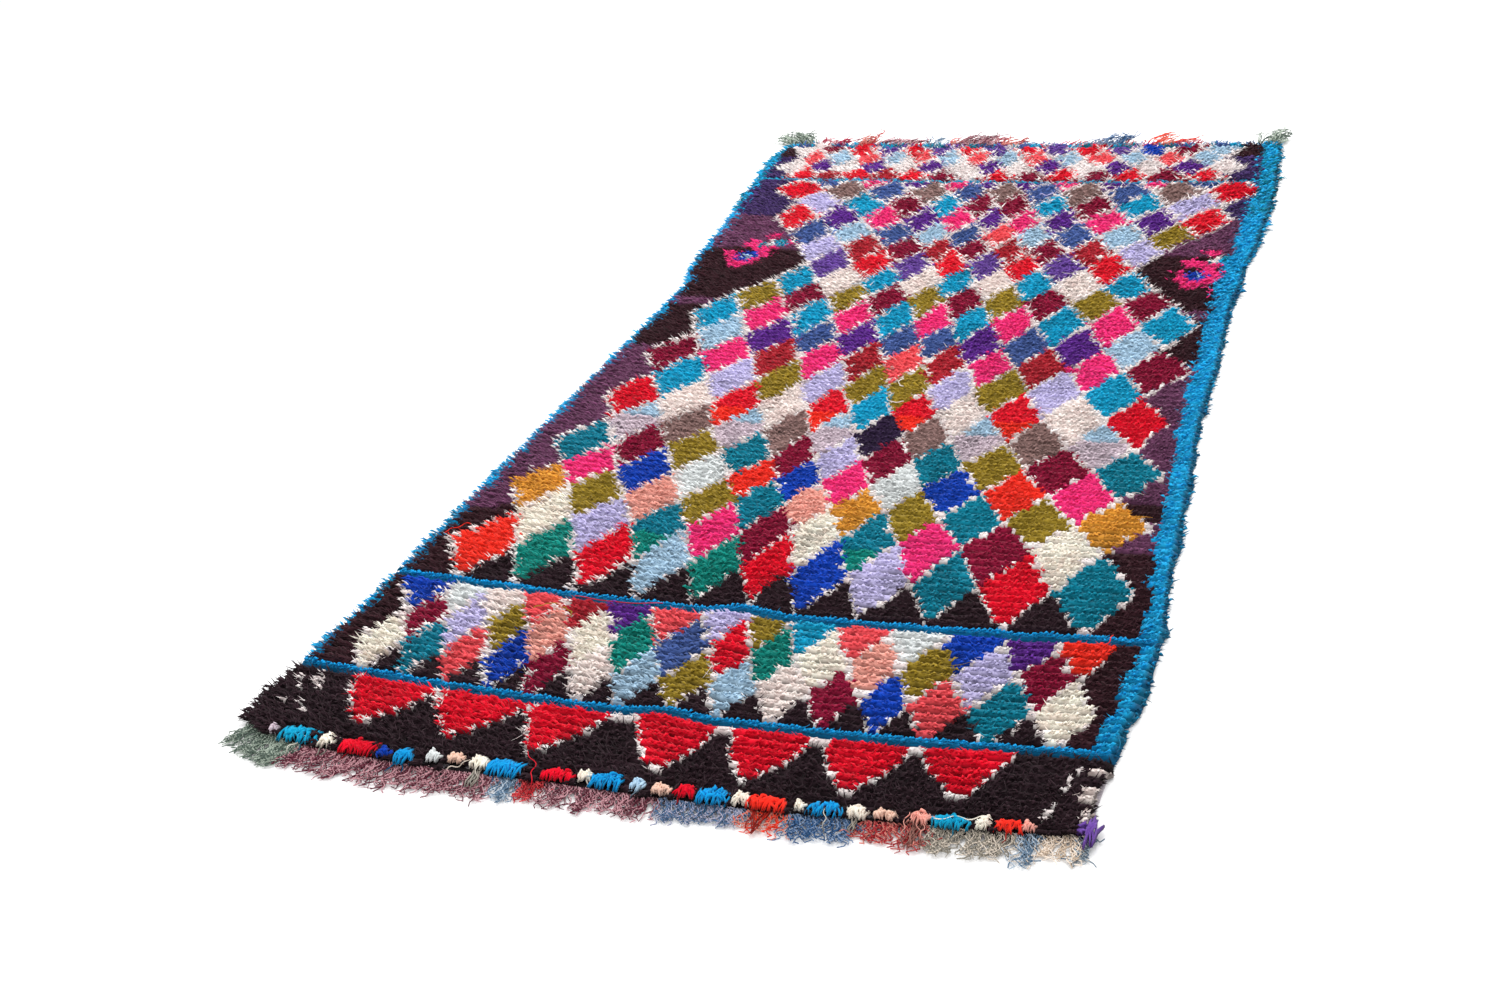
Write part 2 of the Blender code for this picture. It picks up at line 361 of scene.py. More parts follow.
TEETH = (
    Tooth(left=-0.548, right=-0.390, tip=-0.482, tip_along=0.077),
    Tooth(left=-0.389, right=-0.225, tip=-0.322, tip_along=0.077),
    Tooth(left=-0.224, right=-0.090, tip=-0.180, tip_along=0.070),
    Tooth(left=-0.048, right=0.084, tip=0.022, tip_along=0.059),
    Tooth(left=0.101, right=0.229, tip=0.158, tip_along=0.063),
    Tooth(left=0.242, right=0.375, tip=0.303, tip_along=0.064),
    Tooth(left=0.385, right=0.514, tip=0.452, tip_along=0.078),
)


@dataclass(frozen=True)
class PetalRun:
    """Knots of a rosette in one rib, counted from its middle."""

    rib: int
    first: int
    last: int
    dye: Dye


PETALS = (
    PetalRun(7, 2, 4, Dye.PINK), PetalRun(6, 3, 4, Dye.PINK),
    PetalRun(5, -2, -1, Dye.PINK), PetalRun(5, 4, 5, Dye.WHITE), PetalRun(5, 6, 8, Dye.TEAL),
    PetalRun(5, 9, 10, Dye.PINK),
    PetalRun(4, -3, 1, Dye.PINK), PetalRun(4, 2, 3, Dye.TEAL), PetalRun(4, 4, 5, Dye.WHITE),
    PetalRun(4, 6, 7, Dye.TURQUOISE), PetalRun(4, 8, 9, Dye.PINK),
    PetalRun(3, -2, 1, Dye.PINK), PetalRun(3, 2, 2, Dye.TEAL), PetalRun(3, 3, 6, Dye.PINK),
    PetalRun(2, 2, 5, Dye.PINK),
    PetalRun(1, -6, -4, Dye.PINK), PetalRun(1, -1, 2, Dye.ROYAL), PetalRun(1, 3, 6, Dye.PINK),
    PetalRun(0, -5, -3, Dye.PINK), PetalRun(0, -2, -1, Dye.ROYAL), PetalRun(0, 0, 1, Dye.SKY),
    PetalRun(0, 2, 3, Dye.ROYAL), PetalRun(0, 4, 7, Dye.PINK),
    PetalRun(-1, -4, -2, Dye.PINK), PetalRun(-1, -1, 1, Dye.ROYAL), PetalRun(-1, 2, 5, Dye.PINK),
    PetalRun(-2, -3, 4, Dye.PINK), PetalRun(-3, -2, 1, Dye.PINK),
)


@dataclass(frozen=True)
class EdgeBundle:
    """A bundle of thick yarn tied at the near edge: its middle across, width, foot and top along.

    Its longest ends hang out over the fringe by ``hang``.
    """

    dye: Dye
    x: float
    width: float
    foot: float
    top: float
    hang: float = 0.0


EDGE_BUNDLES = (
    EdgeBundle(Dye.MAUVE, x=-0.606, width=0.014, foot=0.024, top=0.040),
    EdgeBundle(Dye.TURQUOISE, x=-0.558, width=0.066, foot=0.009, top=0.046, hang=0.006),
    EdgeBundle(Dye.CREAM, x=-0.504, width=0.026, foot=0.008, top=0.037, hang=0.012),
    EdgeBundle(Dye.CRIMSON, x=-0.448, width=0.064, foot=0.001, top=0.034, hang=0.004),
    EdgeBundle(Dye.ROYAL, x=-0.398, width=0.024, foot=0.004, top=0.022),
    EdgeBundle(Dye.BLUE, x=-0.364, width=0.032, foot=-0.006, top=0.028, hang=0.008),
    EdgeBundle(Dye.MIST, x=-0.317, width=0.024, foot=0.008, top=0.026),
    EdgeBundle(Dye.PEACH, x=-0.280, width=0.030, foot=0.012, top=0.029),
    EdgeBundle(Dye.CREAM, x=-0.242, width=0.030, foot=0.006, top=0.033, hang=0.034),
    EdgeBundle(Dye.BLUE, x=-0.199, width=0.056, foot=-0.003, top=0.033, hang=0.004),
    EdgeBundle(Dye.CRIMSON, x=-0.113, width=0.050, foot=0.002, top=0.027),
    EdgeBundle(Dye.CREAM, x=-0.072, width=0.022, foot=0.010, top=0.029, hang=0.004),
    EdgeBundle(Dye.BLUE, x=-0.035, width=0.050, foot=-0.001, top=0.033),
    EdgeBundle(Dye.SKY, x=0.012, width=0.022, foot=0.003, top=0.027, hang=0.006),
    EdgeBundle(Dye.PEACH, x=0.049, width=0.030, foot=0.004, top=0.023),
    EdgeBundle(Dye.CRIMSON, x=0.086, width=0.030, foot=0.005, top=0.030, hang=0.006),
    EdgeBundle(Dye.BLUE, x=0.126, width=0.046, foot=-0.003, top=0.033, hang=0.010),
    EdgeBundle(Dye.CREAM, x=0.168, width=0.026, foot=0.004, top=0.031),
    EdgeBundle(Dye.ORANGE, x=0.205, width=0.060, foot=0.001, top=0.030, hang=0.036),
    EdgeBundle(Dye.CREAM, x=0.253, width=0.016, foot=0.010, top=0.025),
    EdgeBundle(Dye.BLUE, x=0.289, width=0.048, foot=0.005, top=0.034),
    EdgeBundle(Dye.CREAM, x=0.333, width=0.030, foot=0.010, top=0.034, hang=0.020),
    EdgeBundle(Dye.PEACH, x=0.372, width=0.034, foot=0.016, top=0.032),
    EdgeBundle(Dye.SALMON, x=0.419, width=0.028, foot=0.014, top=0.039, hang=0.036),
    EdgeBundle(Dye.TURQUOISE, x=0.461, width=0.054, foot=0.014, top=0.039, hang=0.004),
    EdgeBundle(Dye.CREAM, x=0.503, width=0.020, foot=0.022, top=0.040),
    EdgeBundle(Dye.ORANGE, x=0.537, width=0.038, foot=0.022, top=0.046, hang=0.006),
    EdgeBundle(Dye.SALMON, x=0.563, width=0.018, foot=0.030, top=0.045),
    EdgeBundle(Dye.VIOLET, x=0.643, width=0.016, foot=0.016, top=0.074),
)


@dataclass(frozen=True)
class FringeRun:
    """A stretch of fringe from the last one's end to a place across, and how it lies there."""

    upto: float
    yarn: Twist
    length: float
    lean: float
    gap: float = 0.0
    density: float = 1.0
    loft: float = 0.002


NEAR_RUNS = (
    FringeRun(upto=-0.548, yarn=Twist.SAGE, length=0.076, lean=-0.32, density=1.5),
    FringeRun(upto=-0.360, yarn=Twist.ROSE, length=0.070, lean=-0.42, gap=0.005),
    FringeRun(upto=-0.205, yarn=Twist.ROSE, length=0.064, lean=-0.28),
    FringeRun(upto=-0.168, yarn=Twist.STEEL, length=0.052, lean=-0.15, gap=0.004),
    FringeRun(upto=-0.126, yarn=Twist.SCARLET, length=0.046, lean=-0.10, gap=0.005),
    FringeRun(upto=0.050, yarn=Twist.ROSE, length=0.056, lean=-0.12, gap=0.005),
    FringeRun(upto=0.180, yarn=Twist.HEATHER, length=0.047, lean=-0.05, gap=0.003),
    FringeRun(upto=0.238, yarn=Twist.FLAME, length=0.053, lean=-0.10, density=0.7),
    FringeRun(upto=0.342, yarn=Twist.INDIGO, length=0.057, lean=-0.10, gap=0.008),
    FringeRun(upto=0.432, yarn=Twist.BRICK, length=0.054, lean=-0.05, gap=0.002),
    FringeRun(upto=0.548, yarn=Twist.OAT, length=0.064, lean=-0.05),
    FringeRun(upto=0.580, yarn=Twist.STEEL, length=0.066, lean=-0.10, gap=0.006),
    FringeRun(upto=0.630, yarn=Twist.CREAM, length=0.070, lean=0.05),
    FringeRun(upto=0.650, yarn=Twist.SLATE, length=0.072, lean=0.02),
)
FAR_RUNS = (
    FringeRun(upto=-0.575, yarn=Twist.SAGE, length=0.104, lean=-0.75, density=2.4, loft=0.030),
    FringeRun(upto=-0.480, yarn=Twist.WINE, length=0.050, lean=0.50, density=0.8, gap=0.006, loft=0.028),
    FringeRun(upto=-0.450, yarn=Twist.ROSE, length=0.055, lean=0.20, loft=0.022),
    FringeRun(upto=-0.405, yarn=Twist.BRICK, length=0.084, lean=0.05, density=1.7, loft=0.030),
    FringeRun(upto=-0.300, yarn=Twist.ROSE, length=0.062, lean=0.65, density=1.2, loft=0.028),
    FringeRun(upto=-0.272, yarn=Twist.SLATE, length=0.024, lean=0.20, gap=0.024, density=0.6, loft=0.021),
    FringeRun(upto=-0.215, yarn=Twist.STEEL, length=0.062, lean=0.10, loft=0.028),
    FringeRun(upto=-0.184, yarn=Twist.FLAME, length=0.050, lean=0.30, loft=0.028),
    FringeRun(upto=-0.085, yarn=Twist.ROSE, length=0.086, lean=0.50, density=1.6, loft=0.030),
    FringeRun(upto=0.000, yarn=Twist.BRICK, length=0.054, lean=0.25, loft=0.028),
    FringeRun(upto=0.100, yarn=Twist.INDIGO, length=0.026, lean=0.40, loft=0.021),
    FringeRun(upto=0.160, yarn=Twist.SCARLET, length=0.034, lean=0.60, loft=0.021),
    FringeRun(upto=0.205, yarn=Twist.HEATHER, length=0.050, lean=0.55, loft=0.028),
    FringeRun(upto=0.262, yarn=Twist.INDIGO, length=0.080, lean=0.65, density=1.6, loft=0.030),
    FringeRun(upto=0.330, yarn=Twist.SCARLET, length=0.030, lean=0.30, loft=0.021),
    FringeRun(upto=0.385, yarn=Twist.FLAME, length=0.088, lean=0.62, density=1.4, loft=0.030),
    FringeRun(upto=0.455, yarn=Twist.WINE, length=0.028, lean=0.30, loft=0.021),
    FringeRun(upto=0.605, yarn=Twist.INDIGO, length=0.022, lean=0.10, loft=0.019),
    FringeRun(upto=0.660, yarn=Twist.SAGE, length=0.092, lean=0.30, density=1.9, loft=0.030),
)


@dataclass(frozen=True)
class LooseThread:
    """A yarn end that came loose: where it starts, where it runs to and how it curls."""

    dye: Dye
    x: float
    along: float
    heading: float
    length: float
    curl: float = 0.0
    wiggle: float = 0.5
    height: float = 0.022


LOOSE_THREADS = (
    LooseThread(Dye.BRICK, x=-0.290, along=0.446, heading=1.45, length=0.160, curl=0.25, wiggle=0.12,
                height=0.024),
    LooseThread(Dye.PINK, x=0.590, along=1.760, heading=2.60, length=0.050, curl=2.5, wiggle=0.9),
    LooseThread(Dye.PINK, x=0.585, along=1.765, heading=0.90, length=0.040, curl=-1.5),
    LooseThread(Dye.ORANGE, x=-0.575, along=0.640, heading=-1.40, length=0.060, curl=1.2),
    LooseThread(Dye.ORANGE, x=-0.560, along=0.590, heading=-1.10, length=0.055, curl=-1.6),
    LooseThread(Dye.ORANGE, x=0.560, along=0.455, heading=1.10, length=0.060, curl=2.0),
    LooseThread(Dye.CREAM, x=-0.244, along=0.032, heading=0.05, length=0.066, curl=0.5, height=0.016),
    LooseThread(Dye.CREAM, x=-0.258, along=0.024, heading=-0.35, length=0.040, curl=-0.8, height=0.015),
    LooseThread(Dye.CRIMSON, x=-0.180, along=0.052, heading=1.10, length=0.080, curl=-1.2, height=0.021),
    LooseThread(Dye.CREAM, x=-0.535, along=0.032, heading=-0.80, length=0.055, curl=0.7, height=0.014),
    LooseThread(Dye.SALMON, x=0.412, along=0.038, heading=0.15, length=0.064, curl=0.4, height=0.016),
    LooseThread(Dye.SALMON, x=0.402, along=0.036, heading=-0.10, length=0.055, curl=0.3, height=0.016),
    LooseThread(Dye.SALMON, x=0.422, along=0.036, heading=0.30, length=0.050, curl=-0.3, height=0.016),
    LooseThread(Dye.CREAM, x=0.520, along=0.032, heading=-1.60, length=0.085, curl=0.4, wiggle=0.6,
                height=0.021),
    LooseThread(Dye.CREAM, x=0.285, along=0.024, heading=0.55, length=0.045, curl=-0.6, height=0.015),
    LooseThread(Dye.WHITE, x=0.040, along=1.215, heading=0.50, length=0.050, curl=1.4),
    LooseThread(Dye.WHITE, x=0.055, along=1.300, heading=-0.70, length=0.045, curl=1.8),
    LooseThread(Dye.WHITE, x=-0.420, along=0.330, heading=0.20, length=0.045, curl=1.2),
    LooseThread(Dye.OLIVE, x=-0.300, along=0.420, heading=-1.90, length=0.045, curl=1.6),
    LooseThread(Dye.OLIVE, x=-0.290, along=0.410, heading=1.70, length=0.040, curl=-1.6),
    LooseThread(Dye.LAVENDER, x=0.120, along=2.330, heading=0.80, length=0.040, curl=1.9),
)


def eased(table: tuple, column: str, along: np.ndarray) -> np.ndarray:
    """Read a table's column at distances along the rug, eased between its rows.

    Args:
        table: Rows that have an ``along`` field, in rising order.
        column: Name of the field to read.
        along: Distances along the rug.

    Returns:
        One value for each distance.
    """
    stations = np.array([row.along for row in table])
    values = np.array([getattr(row, column) for row in table])
    place = np.interp(along, stations, np.arange(len(table)))
    before = np.minimum(place.astype(int), len(table) - 2)
    share = place - before
    share = share * share * (3.0 - 2.0 * share)
    return values[before] + share * (values[before + 1] - values[before])


class SmoothField:
    """Smooth seeded unevenness over the rug's plan, from -1 to 1."""

    CELLS = 64

    def __init__(self, cell: float, seed: int) -> None:
        """Draw the field's grid.

        Args:
            cell: Size of one bump, in metres.
            seed: Seed of the draw.
        """
        self.cell = cell
        self.values = np.random.default_rng(seed).uniform(-1.0, 1.0, (self.CELLS, self.CELLS))

    def at(self, x: np.ndarray, y: np.ndarray) -> np.ndarray:
        """Read the field.

        Args:
            x: Places across.
            y: Places along.

        Returns:
            One value for each place.
        """
        gx = np.asarray(x) / self.cell + 1000.0
        gy = np.asarray(y) / self.cell + 1000.0
        ix = np.floor(gx).astype(int)
        iy = np.floor(gy).astype(int)
        fx = gx - ix
        fy = gy - iy
        fx = fx * fx * (3.0 - 2.0 * fx)
        fy = fy * fy * (3.0 - 2.0 * fy)
        x0, x1 = ix % self.CELLS, (ix + 1) % self.CELLS
        y0, y1 = iy % self.CELLS, (iy + 1) % self.CELLS
        near = self.values[x0, y0] * (1.0 - fx) + self.values[x1, y0] * fx
        far = self.values[x0, y1] * (1.0 - fx) + self.values[x1, y1] * fx
        return near * (1.0 - fy) + far * fy


@dataclass(frozen=True)
class Knotting:
    """Real sizes of the knotting, in metres, and the rows that are stripes.

    Attributes:
        length: Length of the pile.
        ribs: How many rows of knots it has.
        knot_pitch: Width of one knot.
        first_stripe: Row of the first blue stripe.
        second_stripe: Row of the second one.
        far_stripe: Row of the thin one near the far end.
        plan_centre: Where the chart's middle stands across the frame.
    """

    length: float = 2.716
    ribs: int = 138
    knot_pitch: float = 0.0085
    first_stripe: int = 10
    second_stripe: int = 24
    far_stripe: int = 124
    plan_centre: float = 0.0047

    @property
    def rib_pitch(self) -> float:
        """Distance from one row of knots to the next."""
        return self.length / self.ribs


class RugPlan:
    """Where the rows of knots lie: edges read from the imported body, bends from the table.

    Attributes:
        STATION: Distance between the places where the edges are read.
        WINDOW: How far from such a place the outline's points still count.
        FLOOR_LEVEL: Height under which a point belongs to the outline.
        LIFTED: How far along the rug the near rows are drawn in.
    """

    STATION = 0.05
    WINDOW = 0.045
    FLOOR_LEVEL = 0.0005
    LIFTED = 0.14

    def __init__(self, frame: dict, knotting: Knotting) -> None:
        """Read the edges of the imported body.

        Args:
            knotting: Sizes of the knotting.
        """
        self.knotting = knotting
        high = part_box("rug_body")[1]
        self.start = high.y - knotting.length
        mesh = frame["nodes"]["rug_body"].data
        points = np.empty(3 * len(mesh.vertices))
        mesh.vertices.foreach_get("co", points)
        points = points.reshape(-1, 3)
        rim = points[points[:, 2] < self.FLOOR_LEVEL]
        self.stations = np.arange(0.0, knotting.length + self.STATION, self.STATION)
        self.left = self._edge(rim[rim[:, 0] < -0.4], self.stations)
        self.right = self._edge(rim[rim[:, 0] > 0.4], self.stations)

    def _edge(self, rim: np.ndarray, stations: np.ndarray) -> np.ndarray:
        """Find one long edge without its locks.

        Args:
            rim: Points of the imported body's outline on one side.
            stations: Distances along the rug.

        Returns:
            The edge's place across, at each distance.
        """
        along = rim[:, 1] - self.start
        places = []
        for station in stations:
            near = rim[np.abs(along - station) < self.WINDOW]
            places.append(float(np.median(near[:, 0])))
        return np.array(places)

    def edges(self, along: np.ndarray) -> tuple[np.ndarray, np.ndarray]:
        """Return the left and right edges at distances along the rug."""
        return np.interp(along, self.stations, self.left), np.interp(along, self.stations, self.right)

    def bend(self, across: np.ndarray, along: np.ndarray) -> np.ndarray:
        """Find how far rows are shifted along the rug at shares of their width.

        Args:
            across: Shares of the row's width, from 0 at the left edge.
            along: Distances along the rug.

        Returns:
            The shift towards the far end, in metres.
        """
        from_middle = 2.0 * across - 1.0
        sag = eased(ROW_BENDS, "sag", along) * (from_middle ** 2 - 1.0)
        return sag + eased(ROW_BENDS, "kink", along) * np.exp(-((from_middle / 0.07) ** 2))

    def point(self, across: np.ndarray, along: np.ndarray) -> tuple[np.ndarray, np.ndarray]:
        """Place shares of a row's width on the plan.

        Args:
            across: Shares of the row's width.
            along: Distances along the rug.

        Returns:
            The x and y of each place.
        """
        left, right = self.edges(along)
        x = left + across * (right - left)
        lift = np.interp(x, [row.x for row in EDGE_LIFTS], [row.lift for row in EDGE_LIFTS])
        drawn_in = lift * np.clip(1.0 - along / self.LIFTED, 0.0, 1.0) ** 2
        return x, self.start + along + self.bend(across, along) + drawn_in


@dataclass(frozen=True)
class Lattice:
    """A lattice of lozenges with thin white outlines.

    Attributes:
        start: Distance along the rug where it starts.
        stop: Distance along where it stops.
        halves: Half pitches from the first column to the last.
        rows: Its rows of lozenges.
        spans: Where its first and last columns stand.
        below: Yarn of the half lozenges under the first row.
        crowding: How much closer the columns stand at the sides than in the middle.
        outline: Thickness of the outlines at its start, as a share of a lozenge.
        far_outline: The same at its stop.
        skew: How far the middle columns lean to the right.
        first_on_column: Whether the first row's lozenges stand on the first column.
    """

    start: float
    stop: float
    halves: int
    rows: tuple[LozengeRow, ...]
    spans: tuple[Span, ...]
    below: Dye
    crowding: float = 0.2
    outline: float = 0.090
    far_outline: float = 0.090
    skew: float = 0.0
    first_on_column: bool = True

    def _across(self, along: float, x: float) -> float:
        """Return a place across in half pitches, from 0 at the first column."""
        left = float(eased(self.spans, "left", np.array(along)))
        right = float(eased(self.spans, "right", np.array(along)))
        share = (2.0 * x - left - right) / (right - left)
        share += self.skew * max(1.0 - share * share, 0.0)
        size = abs(share)
        straight = 1.0 - self.crowding
        root = (-straight + math.sqrt(straight ** 2 + 4.0 * self.crowding * size)) / (2.0 * self.crowding)
        return 0.5 * self.halves * (1.0 + math.copysign(root, share))

    def _row_place(self, along: float) -> float:
        """Return a place along in rows, from 0 at the first row's middle."""
        centres = [row.centre for row in self.rows]
        first_step = centres[1] - centres[0]
        last_step = centres[-1] - centres[-2]
        places = [centres[0] - first_step, *centres, centres[-1] + last_step]
        return float(np.interp(along, places, np.arange(-1, len(self.rows) + 1)))

    def _lozenge(self, half: int, row: int) -> Dye | None:
        """Find the yarn of one lozenge.

        Args:
            half: Its middle's column, in half pitches.
            row: Its row.

        Returns:
            Its yarn, or None in the border.
        """
        if row < 0:
            return self.below if 0 <= half <= self.halves else None
        chart = self.rows[min(row, len(self.rows) - 1)]
        offset = (row + (0 if self.first_on_column else 1)) % 2
        index = (half - offset) // 2 - chart.short
        count = (self.halves - 2 * offset) // 2 + 1 - 2 * chart.short
        if not 0 <= index < count:
            return None
        if chart.mirrored:
            index = min(index, count - 1 - index)
        return chart.yarns[index % len(chart.yarns)]

    def _changed(self, dye: Dye | None, row: int, row_place: float) -> Dye | None:
        """Return a lozenge's yarn after the row's yarn change, at a place along in rows."""
        change = self.rows[row].change if 0 <= row < len(self.rows) else None
        if change is None or dye is not change.was:
            return dye
        return change.becomes if change.start <= row_place - row <= change.stop else dye

    def yarn(self, along: float, x: float) -> Dye | None:
        """Find the yarn of the knot at a place.

        Args:
            along: Its distance along the rug.
            x: Its place across.

        Returns:
            Its yarn, or None in the border.
        """
        across = self._across(along, x)
        row_place = self._row_place(along)
        odd = 0 if self.first_on_column else 1
        rising = across + row_place
        falling = across - row_place
        rising_cell = 2 * round((rising - odd) / 2) + odd
        falling_cell = 2 * round((falling - odd) / 2) + odd
        d_rising = rising - rising_cell
        d_falling = falling - falling_cell
        inside = 1.0 - max(abs(d_rising), abs(d_falling))
        own = self._lozenge((rising_cell + falling_cell) // 2, (rising_cell - falling_cell) // 2)
        progress = (along - self.start) / (self.stop - self.start)
        if inside >= self.outline + progress * (self.far_outline - self.outline):
            return self._changed(own, (rising_cell - falling_cell) // 2, row_place)
        if abs(d_rising) > abs(d_falling):
            rising_cell += int(math.copysign(2, d_rising))
        else:
            falling_cell += int(math.copysign(2, d_falling))
        other = self._lozenge((rising_cell + falling_cell) // 2, (rising_cell - falling_cell) // 2)
        if own is None and other is None:
            return None
        return Dye.WHITE


@dataclass(frozen=True)
class Skirt:
    """The dark band at the near end with its crimson teeth."""

    teeth: tuple[Tooth, ...] = TEETH
    bow: float = 1.45
    outline: float = 0.0052

    def yarn(self, along: float, top: float, x: float) -> Dye:
        """Find the yarn of a knot in the band.

        Args:
            along: Its distance along the rug.
            top: Distance along of the teeth's broad ends.
            x: Its place across.

        Returns:
            Its yarn.
        """
        deepest = -1.0
        for tooth in self.teeth:
            down = (top - along) / (top - tooth.tip_along)
            narrowing = 1.0 - max(down, 0.0) ** self.bow
            from_left = x - tooth.tip + (tooth.tip - tooth.left) * narrowing
            from_right = tooth.tip + (tooth.right - tooth.tip) * narrowing - x
            deepest = max(deepest, min(from_left, from_right))
        if deepest > self.outline:
            return Dye.CRIMSON
        between = self.teeth[0].left < x < self.teeth[-1].right and along > 0.93 * top
        return Dye.WHITE if deepest > -self.outline or between else Dye.BLACK


@dataclass(frozen=True)
class SkirtFlecks:
    """Odd light knots in the dark band: a column at the right, a scatter at the left, a pale right edge."""

    column_foot: float = 0.566
    column_lean: float = 0.22
    scatter_left: float = -0.650
    scatter_right: float = -0.582
    scatter_start: float = 0.07
    column_reach: float = 0.0046
    pale_edge: float = 0.022
    pale_ribs: tuple[int, ...] = (2, 3, 5, 6, 8)

    def yarn(self, rib: int, knot: int, along: float, x: float, from_edge: float) -> Dye | None:
        """Find the yarn of a knot that is a fleck.

        Args:
            rib: Its row, counted from the near end.
            knot: Its number in the row, from the left.
            along: Its distance along the rug.
            x: Its place across.
            from_edge: Its distance from the nearer long edge.

        Returns:
            Its yarn, or None for a plain knot.
        """
        if x > 0.0 and from_edge < self.pale_edge:
            return Dye.ECRU if rib in self.pale_ribs else Dye.BLACK
        from_column = abs(x - self.column_foot - self.column_lean * along)
        if from_column < self.column_reach and rib % 4 != 1:
            return Dye.WHITE
        in_scatter = self.scatter_left < x < self.scatter_right and along > self.scatter_start
        if in_scatter and ((5 * rib + 3 * knot) % 13 < 2 or (rib == 8 and knot % 7 < 3)):
            return Dye.WHITE
        return None


@dataclass(frozen=True)
class Rosette:
    """A small knotted flower in a side border: petals round a blue eye, a bud over them and two leaves."""

    x: float
    along: float
    petals: tuple[PetalRun, ...] = PETALS

    def yarn(self, knots: int, ribs: int) -> Dye | None:
        """Find the yarn of a knot of the flower.

        Args:
            knots: Knots to the right of the flower's middle.
            ribs: Ribs from the flower's middle towards the far end.

        Returns:
            Its yarn, or None outside the flower.
        """
        for run in self.petals:
            if run.rib == ribs and run.first <= knots <= run.last:
                return run.dye
        return None


class Chart:
    """Which yarn each knot of the rug is tied with.

    Attributes:
        VIOLET_EDGE: Width of the violet knots at the near end's right corner.
        TEAL_FROM: Distance along the rug where the binding goes on in teal and light blue.
    """

    VIOLET_EDGE = 0.020
    TEAL_FROM = 2.2

    def __init__(self, knotting: Knotting) -> None:
        """Set up the bands of the pattern.

        Args:
            knotting: Sizes of the knotting.
        """
        self.knotting = knotting
        pitch = knotting.rib_pitch
        self.skirt = Skirt()
        self.skirt_top = pitch * knotting.first_stripe
        self.bands = (
            Lattice(start=pitch * (knotting.first_stripe + 1), stop=pitch * knotting.second_stripe,
                    halves=28, rows=LOWER_ROWS, spans=LOWER_SPANS, below=Dye.BLACK,
                    crowding=0.05, outline=0.09, far_outline=0.10, skew=0.026),
            Lattice(start=pitch * (knotting.second_stripe + 1), stop=pitch * knotting.far_stripe,
                    halves=20, rows=FIELD_ROWS, spans=FIELD_SPANS, below=Dye.BLACK,
                    outline=0.072, far_outline=0.105),
            Lattice(start=pitch * (knotting.far_stripe + 1), stop=knotting.length + pitch,
                    halves=28, rows=FAR_ROWS, spans=FAR_SPANS, below=Dye.BRICK,
                    crowding=0.05, outline=0.12, far_outline=0.14, skew=0.05, first_on_column=False),
        )
        self.rosettes = (Rosette(x=-0.498, along=1.918), Rosette(x=0.544, along=1.868))
        self.flecks = SkirtFlecks()

    def _border(self, along: float, on_left: bool) -> Dye:
        """Return the yarn of the dark border at a distance along the rug."""
        for stretch in BORDERS:
            if along <= stretch.upto:
                return stretch.left if on_left else stretch.right
        return BORDERS[-1].left

    def _selvedge(self, rib: int, knot: int, along: float) -> Dye:
        """Return the yarn of a knot in the blue binding of the long edges."""
        pick = (7 * rib + 3 * knot) % 11
        if along > self.TEAL_FROM:
            return Dye.TEAL if pick < 4 else Dye.LAGOON
        return Dye.BLUE if pick < 3 else Dye.LAGOON

    def _bound(self, along: float, x: float, from_edge: float) -> bool:
        """Tell whether a knot belongs to the blue binding of its long edge."""
        return from_edge < float(eased(SELVEDGES, "left" if x < 0.0 else "right", np.array(along)))

    def _side_yarn(self, along: float, x: float) -> Dye:
        """Return the yarn of a border knot, with its flower where there is one."""
        pitch = self.knotting.rib_pitch
        for rosette in self.rosettes:
            knots = round((x - rosette.x) / self.knotting.knot_pitch)
            ribs = round((along - rosette.along) / pitch)
            dye = rosette.yarn(knots, ribs)
            if dye is not None:
                return dye
        return self._border(along, x < 0.0)

    def yarn(self, rib: int, knot: int, along: float, x: float, from_edge: float) -> Dye:
        """Find the yarn of a knot.

        Args:
            rib: Its row, counted from the near end.
            knot: Its number in the row, from the left.
            along: Its distance along the rug.
            x: Its place across.
            from_edge: Its distance from the nearer long edge.

        Returns:
            Its yarn.
        """
        knotting = self.knotting
        if rib < 2:
            return Dye.VIOLET if x > 0.0 and from_edge < self.VIOLET_EDGE else Dye.BLACK
        if rib < knotting.first_stripe:
            fleck = self.flecks.yarn(rib, knot, along, x, from_edge)
            return self.skirt.yarn(along, self.skirt_top, x) if fleck is None else fleck
        if rib in (knotting.first_stripe, knotting.second_stripe):
            return Dye.BLUE
        if self._bound(along, x, from_edge):
            return self._selvedge(rib, knot, along)
        if rib == knotting.far_stripe and knot % 7 != 3:
            return Dye.TURQUOISE
        if rib == knotting.ribs - 1 and knot // 3 % 5 < 3:
            return (Dye.TEAL, Dye.DENIM, Dye.TURQUOISE)[knot // 4 % 3]
        for band in self.bands:
            if along < band.stop:
                dye = band.yarn(along, x)
                return self._side_yarn(along, x) if dye is None else dye
        return self._side_yarn(along, x)


def add_node(tree: bpy.types.NodeTree, kind: str, settings: dict | None = None,
             links: dict | None = None) -> bpy.types.Node:
    """Add a node with its settings and links.

    Args:
        tree: The node tree.
        kind: The node's type.
        settings: Values of its properties, or of its inputs by name or number.
        links: Output sockets to link to its inputs, by the inputs' names or numbers.

    Returns:
        The new node.
    """
    node = tree.nodes.new(kind)
    for name, value in (settings or {}).items():
        if isinstance(name, str) and hasattr(node, name):
            setattr(node, name, value)
        else:
            node.inputs[name].default_value = value
    for name, socket in (links or {}).items():
        tree.links.new(socket, node.inputs[name])
    return node


def empty_material(name: str) -> bpy.types.Material:
    """Return a new material that has no nodes yet."""
    material = bpy.data.materials.new(name)
    material.use_nodes = True
    material.node_tree.nodes.clear()
    return material


